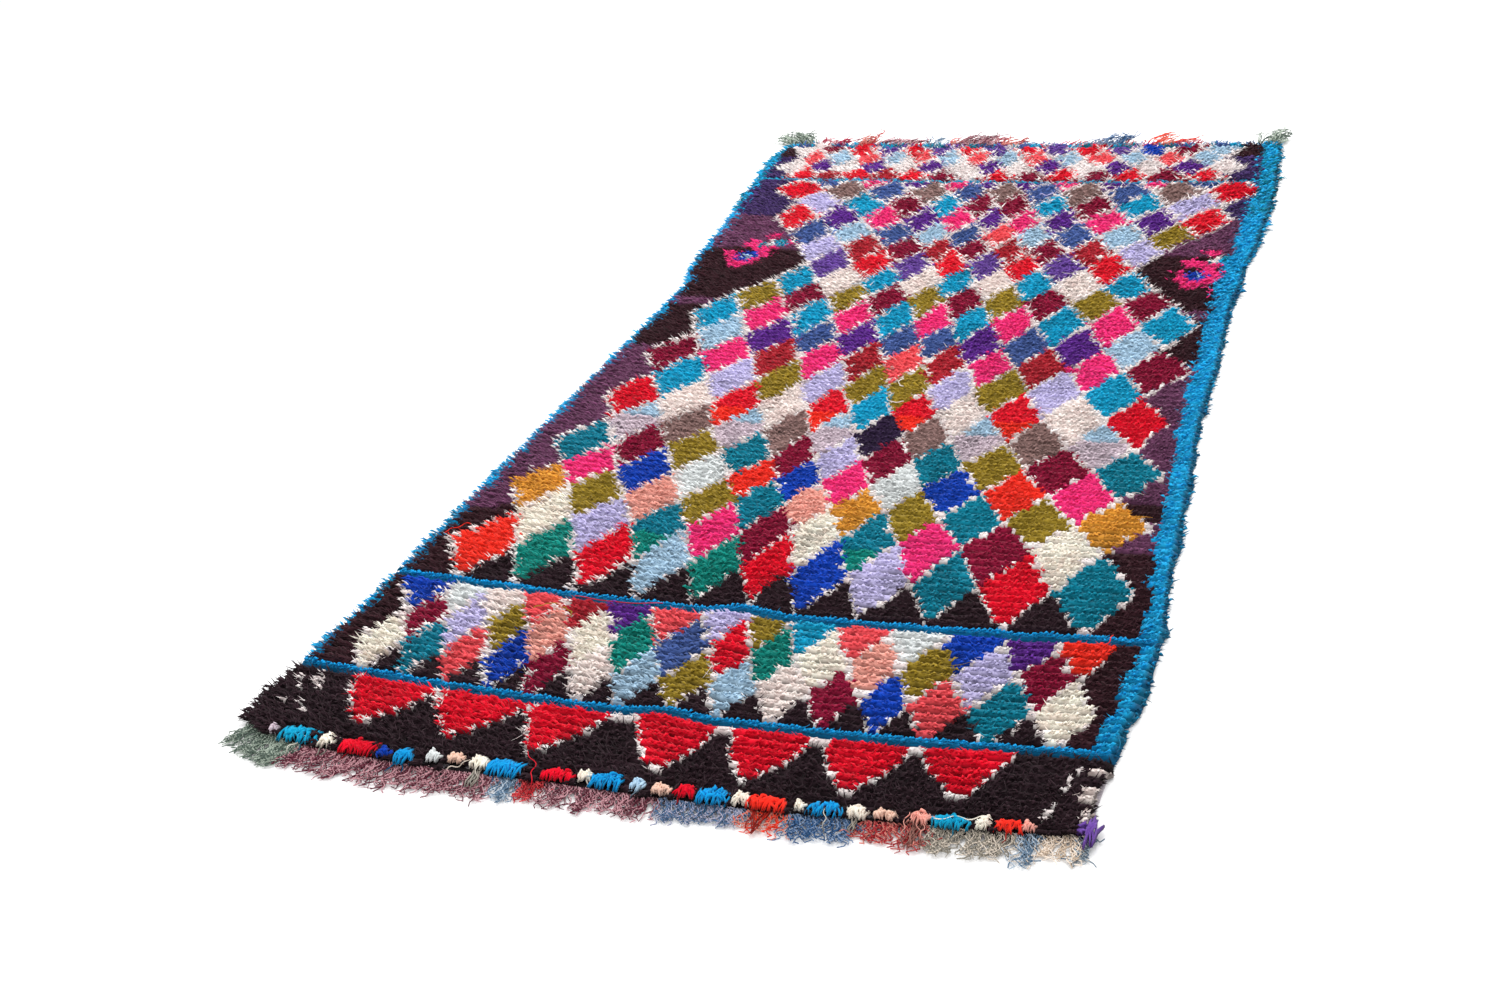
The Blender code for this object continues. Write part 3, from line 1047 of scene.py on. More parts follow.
@dataclass(frozen=True)
class KnottedWool:
    """Hand-spun wool and recycled yarn, cut and knotted: dull, furry and never one even colour.

    Attributes:
        roughness: Roughness of loose wool fibre.
        sheen: Soft light that the fibre ends catch.
        stray: How far single yarn ends stray from the dye, lighter or darker.
        patch: Size in metres of the stronger and weaker dyed stretches.
        fibre: Size in metres of the fibre clumps, coarser than real fibre so that they show.
        deep: How much painted shade darkens the colour at the roots, for the shade down in the pile.
        root_level: Height up to which the painted shade is that dark.
        tip_level: Height from which the dye shows in full, without painted shade.
    """

    roughness: float = 0.92
    sheen: float = 0.07
    stray: float = 0.26
    patch: float = 0.05
    fibre: float = 0.0024
    deep: float = 0.77
    root_level: float = 0.009
    tip_level: float = 0.0175

    def material(self, dye: Dye) -> bpy.types.Material:
        """Make the wool in one dye.

        Args:
            dye: The yarn's dye.

        Returns:
            The material.
        """
        material = empty_material(f"knotted_wool_{dye.name.lower()}")
        tree = material.node_tree
        colour = linear(dye.value)
        brightness = sum(colour[:3]) / 3.0
        sheen = self.sheen * min(1.0, 0.45 + 6.0 * brightness)
        stray = self.stray * (1.0 + math.exp(-40.0 * brightness))
        lift = tuple(min(1.0, c * (1.0 + stray)) for c in colour[:3]) + (1.0,)
        sink = tuple(c * (1.0 - stray) for c in colour[:3]) + (1.0,)
        geometry = add_node(tree, "ShaderNodeNewGeometry")
        coords = add_node(tree, "ShaderNodeTexCoord")
        patches = add_node(tree, "ShaderNodeTexNoise", {"Scale": 1.0 / self.patch, "Detail": 2.0},
                           {"Vector": coords.outputs["Object"]})
        fibres = add_node(tree, "ShaderNodeTexNoise", {"Scale": 1.0 / self.fibre, "Detail": 2.0},
                          {"Vector": coords.outputs["Object"]})
        one_end = add_node(tree, "ShaderNodeMath", {"operation": "MULTIPLY_ADD", 1: 0.55, 2: -0.275},
                           {0: geometry.outputs["Random Per Island"]})
        stretch = add_node(tree, "ShaderNodeMath", {"operation": "ADD"},
                           {0: one_end.outputs[0], 1: patches.outputs["Fac"]})
        fleck = add_node(tree, "ShaderNodeMath", {"operation": "MULTIPLY_ADD", 1: 0.7, 2: -0.35},
                         {0: fibres.outputs["Fac"]})
        tone = add_node(tree, "ShaderNodeMath", {"operation": "ADD", "use_clamp": True},
                        {0: stretch.outputs[0], 1: fleck.outputs[0]})
        dyed = add_node(tree, "ShaderNodeMix", {"data_type": "RGBA", 6: sink, 7: lift},
                        {0: tone.outputs[0]})
        # Painted shade: the dyed colour is darkened by height, most at the roots low in the pile, where the
        # yarn ends shade each other.
        parts = add_node(tree, "ShaderNodeSeparateXYZ", {}, {0: geometry.outputs["Position"]})
        height = add_node(tree, "ShaderNodeMapRange",
                          {"From Min": self.root_level, "From Max": self.tip_level,
                           "To Min": 1.0 - self.deep, "To Max": 1.0},
                          {"Value": parts.outputs["Z"]})
        painted_shade_colour = add_node(tree, "ShaderNodeVectorMath", {"operation": "SCALE"},
                         {0: dyed.outputs[2], "Scale": height.outputs[0]})
        bump = add_node(tree, "ShaderNodeBump", {"Strength": 0.5, "Distance": 0.0008},
                        {"Height": fibres.outputs["Fac"]})
        shader = add_node(tree, "ShaderNodeBsdfPrincipled",
                          {"Roughness": self.roughness, "Specular IOR Level": 0.12,
                           "Sheen Weight": sheen, "Sheen Roughness": 0.45,
                           "Sheen Tint": (1.0, 0.97, 0.95, 1.0)},
                          {"Base Color": painted_shade_colour.outputs[0], "Normal": bump.outputs["Normal"]})
        add_node(tree, "ShaderNodeOutputMaterial", {}, {"Surface": shader.outputs[0]})
        return material


def faces_mesh(name: str, points: np.ndarray, corners: np.ndarray, sizes: np.ndarray) -> bpy.types.Mesh:
    """Make a smooth-shaded mesh from arrays.

    Args:
        name: The mesh's name.
        points: Its points.
        corners: Point numbers of all faces, one after the other.
        sizes: How many corners each face has.

    Returns:
        The mesh.
    """
    mesh = bpy.data.meshes.new(name)
    mesh.vertices.add(points.size // 3)
    mesh.vertices.foreach_set("co", points.ravel())
    mesh.loops.add(corners.size)
    mesh.loops.foreach_set("vertex_index", corners.ravel())
    mesh.polygons.add(len(sizes))
    mesh.polygons.foreach_set("loop_start", np.concatenate([[0], np.cumsum(sizes)[:-1]]))
    mesh.polygons.foreach_set("use_smooth", np.ones(len(sizes), dtype=bool))
    mesh.update(calc_edges=True)
    return mesh


@dataclass
class ManyAlike:
    """Many small pieces of one shape as arrays: their points and the knot that each belongs to."""

    points: np.ndarray
    owners: np.ndarray
    faces: tuple

    def of(self, wanted: np.ndarray) -> tuple[np.ndarray, np.ndarray, np.ndarray]:
        """Return points, corners and face sizes of the pieces whose knots are wanted.

        Args:
            wanted: True for each knot to keep.

        Returns:
            Points, point numbers of all faces, and corners of each face.
        """
        points = self.points[wanted[self.owners]]
        count, each = points.shape[:2]
        pattern = np.array([corner for face in self.faces for corner in face])
        corners = (each * np.arange(count)[:, None] + pattern[None]).ravel()
        sizes = np.tile([len(face) for face in self.faces], count)
        return points.reshape(-1, 3), corners, sizes


def join(name: str, groups: list) -> bpy.types.Mesh:
    """Join several kinds of small pieces into one mesh.

    Args:
        name: The mesh's name.
        groups: Points, corners and face sizes of each kind.

    Returns:
        The mesh.
    """
    points = []
    corners = []
    sizes = []
    base = 0
    for group_points, group_corners, group_sizes in groups:
        points.append(group_points)
        corners.append(group_corners + base)
        sizes.append(group_sizes)
        base += len(group_points)
    return faces_mesh(name, np.concatenate(points), np.concatenate(corners), np.concatenate(sizes))


def rings(centre: np.ndarray, axis: np.ndarray, radius: np.ndarray, turn: np.ndarray) -> np.ndarray:
    """Lay three points round each of many axes.

    Args:
        centre: Middle of each ring.
        axis: Direction of each ring's axis.
        radius: Radius of each ring.
        turn: Turn of each ring about its axis.

    Returns:
        Points by ring and side.
    """
    axis = axis / np.linalg.norm(axis, axis=1, keepdims=True)
    side = np.cross(axis, np.array([0.31, 0.95, 0.05]))
    side /= np.linalg.norm(side, axis=1, keepdims=True)
    other = np.cross(axis, side)
    points = []
    for step in range(3):
        angle = turn + math.tau * step / 3
        spoke = side * np.cos(angle)[:, None] + other * np.sin(angle)[:, None]
        points.append(centre + spoke * radius[:, None])
    return np.stack(points, axis=1)


def add_piece(name: str, mesh: bpy.types.Mesh, material: bpy.types.Material) -> bpy.types.Object:
    """Put a finished piece on the rug.

    Args:
        name: The piece's name.
        mesh: Its mesh.
        material: Its finish.

    Returns:
        The piece.
    """
    piece = bpy.data.objects.new(name, mesh)
    bpy.context.scene.collection.objects.link(piece)
    mesh.materials.append(material)
    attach(piece, BODY)
    LOG.info("%s: %d faces", name, len(mesh.polygons))
    return piece


@dataclass(frozen=True)
class BedStation:
    """The matted pile's height at a phase of a rib, from -0.5 at its near side to 0.5 at its far side."""

    phase: float
    height: float


@dataclass
class Knots:
    """Every knot as arrays.

    Attributes:
        x: Place across.
        y: Place along.
        rib: Row, counted from the near end.
        share: Share of the row's width.
        half_share: Half of the knot's own share of the width.
        edge: Distance from the nearer long edge, negative at the left.
        covered: Whether a yarn bundle of the near edge lies over it.
        yarn: Number of its dye.
    """

    x: np.ndarray
    y: np.ndarray
    rib: np.ndarray
    share: np.ndarray
    half_share: np.ndarray
    edge: np.ndarray
    covered: np.ndarray
    yarn: np.ndarray

    def pick(self, owners: np.ndarray) -> "Knots":
        """Return the knots with these numbers, each as often as it is named."""
        return Knots(*(getattr(self, column.name)[owners] for column in fields(self)))

    def tied_with(self, *wanted: Dye) -> np.ndarray:
        """Tell which knots are tied with one of some dyes."""
        order = list(Dye)
        return np.isin(self.yarn, [order.index(dye) for dye in wanted])


@dataclass(frozen=True)
class LockShape:
    """How one sort of yarn end grows out of the matted pile.

    Attributes:
        each: How many a knot has.
        length: Mean length.
        spread: How unevenly they are cut.
        lean: Angle from upright.
        lean_spread: How far single ends stray from it.
        splay: How far single ends stray from their side.
        root_radius: Radius at the root.
        belly_radius: Radius of the fullest place, or nothing for a plain spike.
    """

    each: int
    length: float
    spread: float
    lean: float
    lean_spread: float
    splay: float
    root_radius: float
    belly_radius: float | None = None


@dataclass
class KnottedPile:
    """All the knots of the rug, one piece for each yarn.

    The ends of a knot lie out to both sides along its row, more to the left in the left half.

    Attributes:
        plan: Where the rows lie.
        chart: The yarn of each knot.
        bed: Height of the matted pile over one rib.
        plump: The thick yarn ends.
        wispy: The thin ones.
        sides: How far yarn ends turn from the near end's side to the left or right.
        ceiling: Greatest height of a yarn end.
        lowest: Least height of the matted pile, just over the woven ground.
        hem: Its height at the rug's outermost points.
        row_waver: How far the rows waver along the rug.
        left_wander: How far the left long edge wanders sideways.
        right_wander: How far the right long edge does.
        root_depth: How deep yarn ends are rooted in it.
        stripe_rise: How far the two raised stripes stand up.
        strand_pitch: Distance between the laid strands of a yarn bundle.
        strand_radius: Radius of such a strand.
        strays: How many single long fibres come loose.
    """

    plan: RugPlan
    chart: Chart
    bed: tuple = (
        BedStation(-0.50, 0.0024),
        BedStation(-0.22, 0.0147),
        BedStation(0.24, 0.0154),
        BedStation(0.50, 0.0024),
    )
    plump: LockShape = LockShape(each=2, length=0.0135, spread=0.16, lean=0.95, lean_spread=0.22,
                                 splay=0.38, root_radius=0.0018, belly_radius=0.0024)
    wispy: LockShape = LockShape(each=5, length=0.0150, spread=0.26, lean=0.92, lean_spread=0.32,
                                 splay=0.50, root_radius=0.0016)
    sides: float = 1.38
    ceiling: float = 0.0300
    lowest: float = 0.0042
    hem: float = 0.0030
    row_waver: float = 0.0024
    left_wander: float = 0.0095
    right_wander: float = 0.0040
    root_depth: float = 0.0030
    stripe_rise: float = 0.0140
    strand_pitch: float = 0.0034
    strand_radius: float = 0.0024
    strays: int = 420
    seed: int = 41
    pieces: list = field(default_factory=list)

    BELLY_FACES = ((0, 1, 4, 3), (1, 2, 5, 4), (2, 0, 3, 5), (3, 4, 6), (4, 5, 6), (5, 3, 6))
    SPIKE_FACES = ((0, 1, 3), (1, 2, 3), (2, 0, 3))

    def build(self) -> list:
        """Tie every knot and make one piece for each yarn.

        Returns:
            The pieces.
        """
        rng = np.random.default_rng(self.seed)
        knots = self._tie(rng)
        sorts = [self._bed(knots), self._grow(knots, self.plump, rng), self._grow(knots, self.wispy, rng),
                 self._strays(knots, rng)]
        wool = KnottedWool()
        for number, dye in enumerate(Dye):
            wanted = knots.yarn == number
            groups = [sort.of(wanted) for sort in sorts] if wanted.any() else []
            groups.extend(self._loose(thread, rng) for thread in LOOSE_THREADS if thread.dye is dye)
            groups.extend(self._bundle(bundle, rng) for bundle in EDGE_BUNDLES if bundle.dye is dye)
            if groups:
                name = f"pile_{dye.name.lower()}"
                self.pieces.append(add_piece(name, join(name, groups), wool.material(dye)))
        return self.pieces

    def _tie(self, rng: np.random.Generator) -> Knots:
        """Lay the knots out row by row and read their yarns from the chart.

        Args:
            rng: Source of the hand's unevenness.

        Returns:
            The knots.
        """
        rows = [self._row(rib, rng) for rib in range(self.plan.knotting.ribs)]
        return Knots(*(np.concatenate(column) for column in zip(*rows)))

    def _row(self, rib: int, rng: np.random.Generator) -> tuple:
        """Lay one row of knots.

        Args:
            rib: The row, counted from the near end.
            rng: Source of the hand's unevenness.

        Returns:
            The columns of its knots.
        """
        knotting = self.plan.knotting
        along = (rib + 0.5) * knotting.rib_pitch
        left, right = (float(edge) for edge in self.plan.edges(np.array(along)))
        count = round((right - left) / knotting.knot_pitch)
        share = (np.arange(count) + 0.5) / count
        x, y = self.plan.point(share, np.full(count, along))
        from_edge = np.minimum(x - left, right - x)
        raw_x = x - knotting.plan_centre
        wander = SmoothField(0.13, 3)
        loose = 0.0 if rib <= knotting.first_stripe else 1.0
        uneven = 0.003 * loose * rng.normal(0.0, 1.0, count)
        chart_x = raw_x + uneven + (0.002 + 0.005 * loose) * wander.at(x, y)
        chart_along = along + 0.007 * loose * wander.at(x + 7.0, y)
        chart_edge = from_edge + np.where(share < 0.5, 0.013, 0.008) * SmoothField(0.030, 17).at(x, y)
        order = list(Dye)
        yarns = [order.index(self.chart.yarn(rib, knot, *(float(value) for value in place)))
                 for knot, place in enumerate(zip(chart_along, chart_x, chart_edge))]
        walls = self._walls(np.isin(yarns, [order.index(Dye.WHITE)]), rib)
        share = 0.5 * (walls[1:] + walls[:-1])
        x, y = self.plan.point(share, np.full(count, along))
        covered = np.zeros(count, dtype=bool)
        if rib < 2:
            for bundle in EDGE_BUNDLES:
                covered |= np.abs(raw_x - bundle.x) < 0.5 * bundle.width
        side = np.where(share < 0.5, -1.0, 1.0)
        return (x, y, np.full(count, rib), share, 0.5 * np.diff(walls), side * from_edge, covered,
                np.array(yarns))

    def _walls(self, thin: np.ndarray, rib: int) -> np.ndarray:
        """Find where the knots of a row meet: outlines are knotted in thinner yarn, most of all near.

        Args:
            thin: Whether each knot is tied in the outlines' yarn.
            rib: The row, counted from the near end.

        Returns:
            Shares of the row's width, one more than there are knots.
        """
        count = len(thin)
        slack = 0.24 - 0.16 * min(1.0, rib / (0.7 * self.plan.knotting.ribs))
        walls = np.arange(count + 1) / count
        walls[1:-1] += slack / count * (thin[1:].astype(float) - thin[:-1].astype(float))
        return walls

    def _raised(self, knots: Knots) -> np.ndarray:
        """Tell which knots belong to the two raised blue stripes."""
        knotting = self.plan.knotting
        return (knots.rib == knotting.first_stripe) | (knots.rib == knotting.second_stripe)

    def _beside_left_binding(self, knots: Knots) -> np.ndarray:
        """Tell which knots lie just inside the left binding, whose long ends hang over it."""
        return (knots.edge > -0.060) & (knots.edge < -0.024)

    def _farness(self, knots: Knots) -> np.ndarray:
        """Return how far along knots are, from 0 where the pile is short to 1 where it is long."""
        return np.clip((knots.rib / self.plan.knotting.ribs - 0.45) / 0.35, 0.0, 1.0)

    def _nearness(self, knots: Knots) -> np.ndarray:
        """Return how near knots are to the near end, from 1 at it to 0 past the lower band."""
        return np.clip(1.0 - knots.rib / 40.0, 0.0, 1.0)

    def _level(self, knots: Knots, phase: np.ndarray, x: np.ndarray, y: np.ndarray) -> np.ndarray:
        """Return the matted pile's height.

        Args:
            knots: The knots, one for each place.
            phase: Phase of the rib at each place.
            x: Places across.
            y: Places along.

        Returns:
            One height for each place.
        """
        knotting = self.plan.knotting
        profile = np.interp(phase, [station.phase for station in self.bed],
                            [station.height for station in self.bed])
        matted = (knots.rib < knotting.first_stripe) & knots.tied_with(Dye.BLACK)
        closed = np.clip(0.02 + 0.45 * SmoothField(0.042, 23).at(x, y), 0.0, 0.8)
        flat = np.where(matted, 0.70, np.maximum(closed, 0.55 * self._farness(knots)))
        level = profile + flat * (0.0128 - profile)
        level = level + 0.0016 * SmoothField(0.06, 21).at(x, y) + 0.0012 * SmoothField(0.018, 22).at(x, y)
        ridge = 0.0050 + self.stripe_rise * np.exp(-(((phase - 0.03) / 0.27) ** 2))
        level = np.where(self._raised(knots), ridge, level)
        level = np.where(knots.rib == knotting.far_stripe, level - 0.0030, level)
        return np.maximum(np.where(knots.covered, level - 0.0060, level), self.lowest)

    def _waver(self, knots: Knots, phase: np.ndarray, x: np.ndarray, y: np.ndarray) -> np.ndarray:
        """Return how far the rows waver, and most of all the two ends' edges.

        Args:
            knots: The knots, one for each place.
            phase: Phase of the rib at each place.
            x: Places across.
            y: Places along.

        Returns:
            One shift towards the far end for each place.
        """
        reach = np.clip(0.5 * (knots.rib + 0.5 + phase), 0.0, 1.0)
        from_far = np.clip(0.5 * (self.plan.knotting.ribs - knots.rib - 0.5 - phase), 0.0, 1.0)
        near = 0.0045 * SmoothField(0.020, 14).at(x, 0.0 * y) * (1.0 - reach) ** 2
        far = 0.0075 * SmoothField(0.026, 15).at(x, 0.0 * y) * (1.0 - from_far) ** 2
        return near + far + self.row_waver * SmoothField(0.024, 24).at(x, y)

    def _bed(self, knots: Knots) -> ManyAlike:
        """Lay the matted pile: a strip of three faces for each knot.

        Args:
            knots: The knots.

        Returns:
            The strips.
        """
        knotting = self.plan.knotting
        last = knotting.ribs - 1
        columns = []
        for side in (-1.0, 1.0):
            share = knots.share + side * knots.half_share
            outermost = (share < 0.5 * knots.half_share) | (share > 1.0 - 0.5 * knots.half_share)
            for station in self.bed:
                along = (knots.rib + 0.5 + station.phase) * knotting.rib_pitch
                x, y = self.plan.point(share, along)
                phase = np.full(len(x), station.phase)
                level = self._level(knots, phase, x, y)
                y = y + self._waver(knots, phase, x, y)
                first = (knots.rib == 0) & (station.phase == -0.5)
                final = (knots.rib == last) & (station.phase == 0.5)
                level = np.where(outermost | first | final, self.hem, level)
                x = x + np.where(outermost, self._rim_wander(x, y), 0.0)
                columns.append(np.stack([x, y, level], axis=1))
        points = np.stack(columns, axis=1)
        steps = len(self.bed)
        faces = tuple((step, step + steps, step + steps + 1, step + 1) for step in range(steps - 1))
        return ManyAlike(points, np.arange(len(knots.x)), faces)

    def _rim_wander(self, x: np.ndarray, y: np.ndarray) -> np.ndarray:
        """Return how far the long edges wander sideways, the left one more than the right one.

        Args:
            x: Places across.
            y: Places along.

        Returns:
            One shift to the right for each place, less where the dark band leaves the ground bare.
        """
        slow = np.where(x > 0.0, self.right_wander, self.left_wander) * SmoothField(0.036, 13).at(0.0 * y, y)
        quick = 0.0030 * SmoothField(0.013, 12).at(0.0 * y, y)
        along = y - self.plan.start
        bare = (x > 0.0) & (along > 0.06) & (along < 0.17)
        return slow + quick + np.where(bare, -0.0030, 0.0040)

    def _grow(self, knots: Knots, shape: LockShape, rng: np.random.Generator) -> ManyAlike:
        """Grow one sort of yarn ends out of every knot.

        Args:
            knots: The knots.
            shape: The sort.
            rng: Source of the hand's unevenness.

        Returns:
            The yarn ends.
        """
        owners = np.repeat(np.arange(len(knots.x)), shape.each)
        spot = np.tile(np.arange(shape.each), len(knots.x))
        mine = knots.pick(owners)
        total = len(owners)
        rim = np.abs(mine.edge) < 1.3 * self.plan.knotting.knot_pitch
        root = self._roots(mine, spot, shape, rim, rng)
        length = self._lengths(mine, shape, rim, rng)
        lean, sideways = self._directions(mine, shape, rim, rng)

        flat = np.stack([np.sin(sideways), -np.cos(sideways)], axis=1)
        knee = root.copy()
        knee[:, :2] += flat * (0.62 * length * np.sin(0.75 * lean))[:, None]
        knee[:, 2] += 0.62 * length * np.cos(0.75 * lean)
        tip = knee.copy()
        tip[:, :2] += flat * (0.38 * length * np.sin(1.45 * lean))[:, None]
        tip[:, 2] += 0.38 * length * np.cos(1.45 * lean)
        tip[:, 2] = np.clip(tip[:, 2], 0.0012, self.ceiling)
        knee[:, 2] = np.clip(knee[:, 2], 0.0030, self.ceiling - 0.0020)

        thick = np.clip(1.0 + 0.16 * rng.normal(0.0, 1.0, total), 0.6, 1.5)
        turn = rng.uniform(0.0, math.tau, total)
        base = rings(root, knee - root, shape.root_radius * thick, turn)
        if shape.belly_radius is None:
            return ManyAlike(np.concatenate([base, tip[:, None]], axis=1), owners, self.SPIKE_FACES)
        belly = rings(knee, tip - root, shape.belly_radius * thick, turn)
        return ManyAlike(np.concatenate([base, belly, tip[:, None]], axis=1), owners, self.BELLY_FACES)

    def _roots(self, mine: Knots, spot: np.ndarray, shape: LockShape, rim: np.ndarray,
               rng: np.random.Generator) -> np.ndarray:
        """Place the roots of yarn ends over their knots.

        Args:
            mine: The knot of each yarn end.
            spot: Number of each yarn end in its knot.
            shape: The sort.
            rim: Which yarn ends grow at the long edges.
            rng: Source of the hand's unevenness.

        Returns:
            The roots.
        """
        total = len(spot)
        scatter = 0.08 + 0.10 * self._nearness(mine)
        phase = np.where(spot % 2 == 0, -0.06, 0.18) + scatter * rng.uniform(-1.0, 1.0, total)
        phase = np.where(self._raised(mine), -0.02 + 0.5 * phase, phase)
        phase = np.where(rim, rng.uniform(-0.5, 0.5, total), phase)
        off = (spot + 0.5) / shape.each - 0.5 + 0.3 * rng.normal(0.0, 1.0, total) / shape.each
        share = mine.share + 2.0 * mine.half_share * off
        x, y = self.plan.point(share, (mine.rib + 0.5 + phase) * self.plan.knotting.rib_pitch)
        level = np.maximum(self._level(mine, phase, x, y) - self.root_depth, 0.0032)
        level = np.where(rim, np.clip(level, 0.0040, 0.0070), level)
        x = x + np.where(rim, self._rim_wander(x, y), 0.0)
        return np.stack([x, y + self._waver(mine, phase, x, y), level], axis=1)

    def _lengths(self, mine: Knots, shape: LockShape, rim: np.ndarray,
                 rng: np.random.Generator) -> np.ndarray:
        """Cut the yarn ends.

        Args:
            mine: The knot of each yarn end.
            shape: The sort.
            rim: Which yarn ends grow at the long edges.
            rng: Source of the hand's unevenness.

        Returns:
            One length for each.
        """
        wear = SmoothField(0.30, 9).at(mine.x, mine.y)
        uneven = 0.5 * SmoothField(0.012, 8).at(mine.x, mine.y) + 0.7 * rng.normal(0.0, 1.0, len(mine.x))
        length = shape.length * (1.0 + shape.spread * uneven)
        length *= 0.93 + 0.10 * wear + 0.24 * np.clip(-mine.x / 0.5, -0.4, 1.0) + 0.42 * self._farness(mine)
        pale = mine.tied_with(Dye.WHITE, Dye.ECRU, Dye.CREAM)
        soft = mine.tied_with(Dye.BLACK, Dye.UMBER, Dye.PLUM)
        if shape.belly_radius is None:
            length = length * (1.0 + (0.05 + 0.25 * self._farness(mine)) * pale + 0.20 * soft)
        outline = mine.tied_with(Dye.WHITE)
        leftness = np.clip(-mine.x / 0.5, 0.0, 1.0)
        shorter = 0.72 + 0.22 * leftness + 0.28 * self._farness(mine)
        length = np.where(outline, np.minimum(shorter, 1.0) * length, length)
        length = np.clip(length, 0.35 * shape.length, 1.9 * shape.length)
        in_skirt = mine.rib < self.plan.knotting.first_stripe
        length = np.where(in_skirt & pale, 0.85 * length, length)
        length = np.where(mine.covered, 0.5 * length, length)
        length = np.where(self._raised(mine), 0.85 * length, length)
        length = np.where(self._beside_left_binding(mine) & ~in_skirt, 1.30 * length, length)
        bunch = 0.5 + 0.5 * SmoothField(0.021, 51).at(0.0 * mine.x, mine.y)
        frayed = np.where(in_skirt, 1.40, 1.0)
        return np.where(rim, frayed * length * (0.45 + 0.95 * bunch), length)

    def _directions(self, mine: Knots, shape: LockShape, rim: np.ndarray,
                    rng: np.random.Generator) -> tuple[np.ndarray, np.ndarray]:
        """Lay the yarn ends over.

        Args:
            mine: The knot of each yarn end.
            shape: The sort.
            rim: Which yarn ends grow at the long edges.
            rng: Source of the hand's unevenness.

        Returns:
            Angles from upright, and turns from the near end's side towards the right.
        """
        knotting = self.plan.knotting
        total = len(mine.x)
        wave = SmoothField(0.09, 7).at(mine.x, mine.y)
        far = self._farness(mine)
        leftward = np.clip(0.5 - 0.55 * (mine.x - 0.1) + 0.25 * wave, 0.15, 0.90)
        side = np.where(rng.uniform(0.0, 1.0, total) < leftward, -1.0, 1.0)
        matted = (mine.rib < knotting.first_stripe) & mine.tied_with(Dye.BLACK)
        stray = np.where(matted, 1.9, 1.0) * shape.splay * rng.normal(0.0, 1.0, total)
        scatter = 0.50 + 0.35 * self._nearness(mine) + 0.45 * far
        sideways = side * (self.sides - 0.18 * far) + scatter * stray
        lean = shape.lean + 0.12 * far + shape.lean_spread * (0.4 * wave + 0.7 * rng.normal(0.0, 1.0, total))
        over_binding = self._beside_left_binding(mine) & (mine.rib > knotting.first_stripe)
        sideways = np.where(over_binding, -1.25 + 0.6 * stray, sideways)
        sideways = np.where(rim, np.sign(mine.edge) * 1.15 + 1.2 * stray, sideways)
        lean = np.where(rim | over_binding, lean + 0.25, lean)
        sideways = np.where(self._raised(mine), 1.30 + 0.4 * stray, sideways)
        lean = np.where(self._raised(mine), 0.35 + 0.8 * lean, lean)
        at_near_end = mine.rib == 0
        sideways = np.where(at_near_end & ~rim, 0.55 * sideways, sideways)
        lean = np.where(at_near_end, lean + 0.20, lean)
        at_far_end = mine.rib > knotting.ribs - 2
        sideways = np.where(at_far_end & ~rim, math.pi * rng.uniform(-1.0, 1.0, total), sideways)
        return np.where(at_far_end, 0.75 * lean, lean), sideways

    def _bundle(self, bundle: EdgeBundle, rng: np.random.Generator) -> tuple:
        """Tie one bundle of thick yarn at the near edge: strands side by side, and shorter ones across them.

        Args:
            bundle: The bundle.
            rng: Source of the hand's unevenness.

        Returns:
            Points, point numbers of all faces, and corners of each face.
        """
        laid = round(bundle.width / self.strand_pitch) + 2
        hanging = round(bundle.hang / 0.005)
        crossing = np.arange(2 * laid + hanging) >= laid
        reaching = bundle.hang + 0.4 * (bundle.top - bundle.foot)
        longer = np.where(np.arange(2 * laid + hanging) >= 2 * laid, reaching, 0.0)
        count = len(longer)
        across = np.concatenate([np.linspace(-1.0, 1.0, laid), rng.uniform(-0.66, 0.66, laid + hanging)])
        across = across + 0.06 * rng.normal(0.0, 1.0, count)
        swing = min(1.1, 1.6 * bundle.width / (bundle.top - bundle.foot))
        turned = np.where(crossing, rng.uniform(-swing, swing, count),
                          0.27 * swing * rng.normal(0.0, 1.0, count))
        turned = np.where(longer > 0.0, 0.7 * turned, turned)
        share = np.linspace(0.0, 1.0, 7)[None, :]
        puff = np.sqrt(np.clip(1.0 - 0.60 * across ** 2, 0.10, 1.0))[:, None]
        reach = np.where(crossing & (longer == 0.0), 0.46, 1.0)[:, None]
        depth = (bundle.top - bundle.foot) * reach * (0.65 + 0.35 * puff)
        depth = depth * (1.0 + 0.10 * rng.normal(0.0, 1.0, count))[:, None]
        middle = 0.5 * (bundle.top + bundle.foot) + (1.0 - reach[:, 0]) * 0.007 * rng.normal(0.0, 1.0, count)
        wave = rng.uniform(0.0, math.tau, count)[:, None]
        x = bundle.x + self.plan.knotting.plan_centre + 0.5 * (bundle.width - 0.004) * across[:, None]
        x = x + np.sin(turned)[:, None] * depth * (share - 0.5) + 0.0014 * np.sin(wave + 7.0 * share)
        y = self.plan.start + middle[:, None] + depth * (0.5 - share) * np.cos(turned)[:, None]
        y = y - longer[:, None] * share * rng.uniform(0.6, 1.0, count)[:, None]
        x = x + (longer > 0.0)[:, None] * 0.0035 * np.sin(wave + 11.0 * share) * share
        arch = np.sin(math.pi * (0.08 + 0.84 * share)) ** 0.6
        z = 0.0070 + (0.0125 * puff + 0.0022 * (reach < 1.0)) * arch
        out = np.clip(longer[:, None] * share / 0.012, 0.0, 1.0)
        z = z + out * (np.maximum(0.0125 - 0.2 * longer[:, None] * share, 0.0092) - z)
        radius = self.strand_radius * np.clip(1.0 + 0.20 * rng.normal(0.0, 1.0, count), 0.6, 1.5)[:, None]
        radius = radius * (1.0 - 0.45 * np.abs(2.0 * share - 1.0) ** 3)
        radius = radius * np.where(longer > 0.0, 0.62, 1.0)[:, None]
        return tubes(np.stack([x, y, z], axis=2), radius)

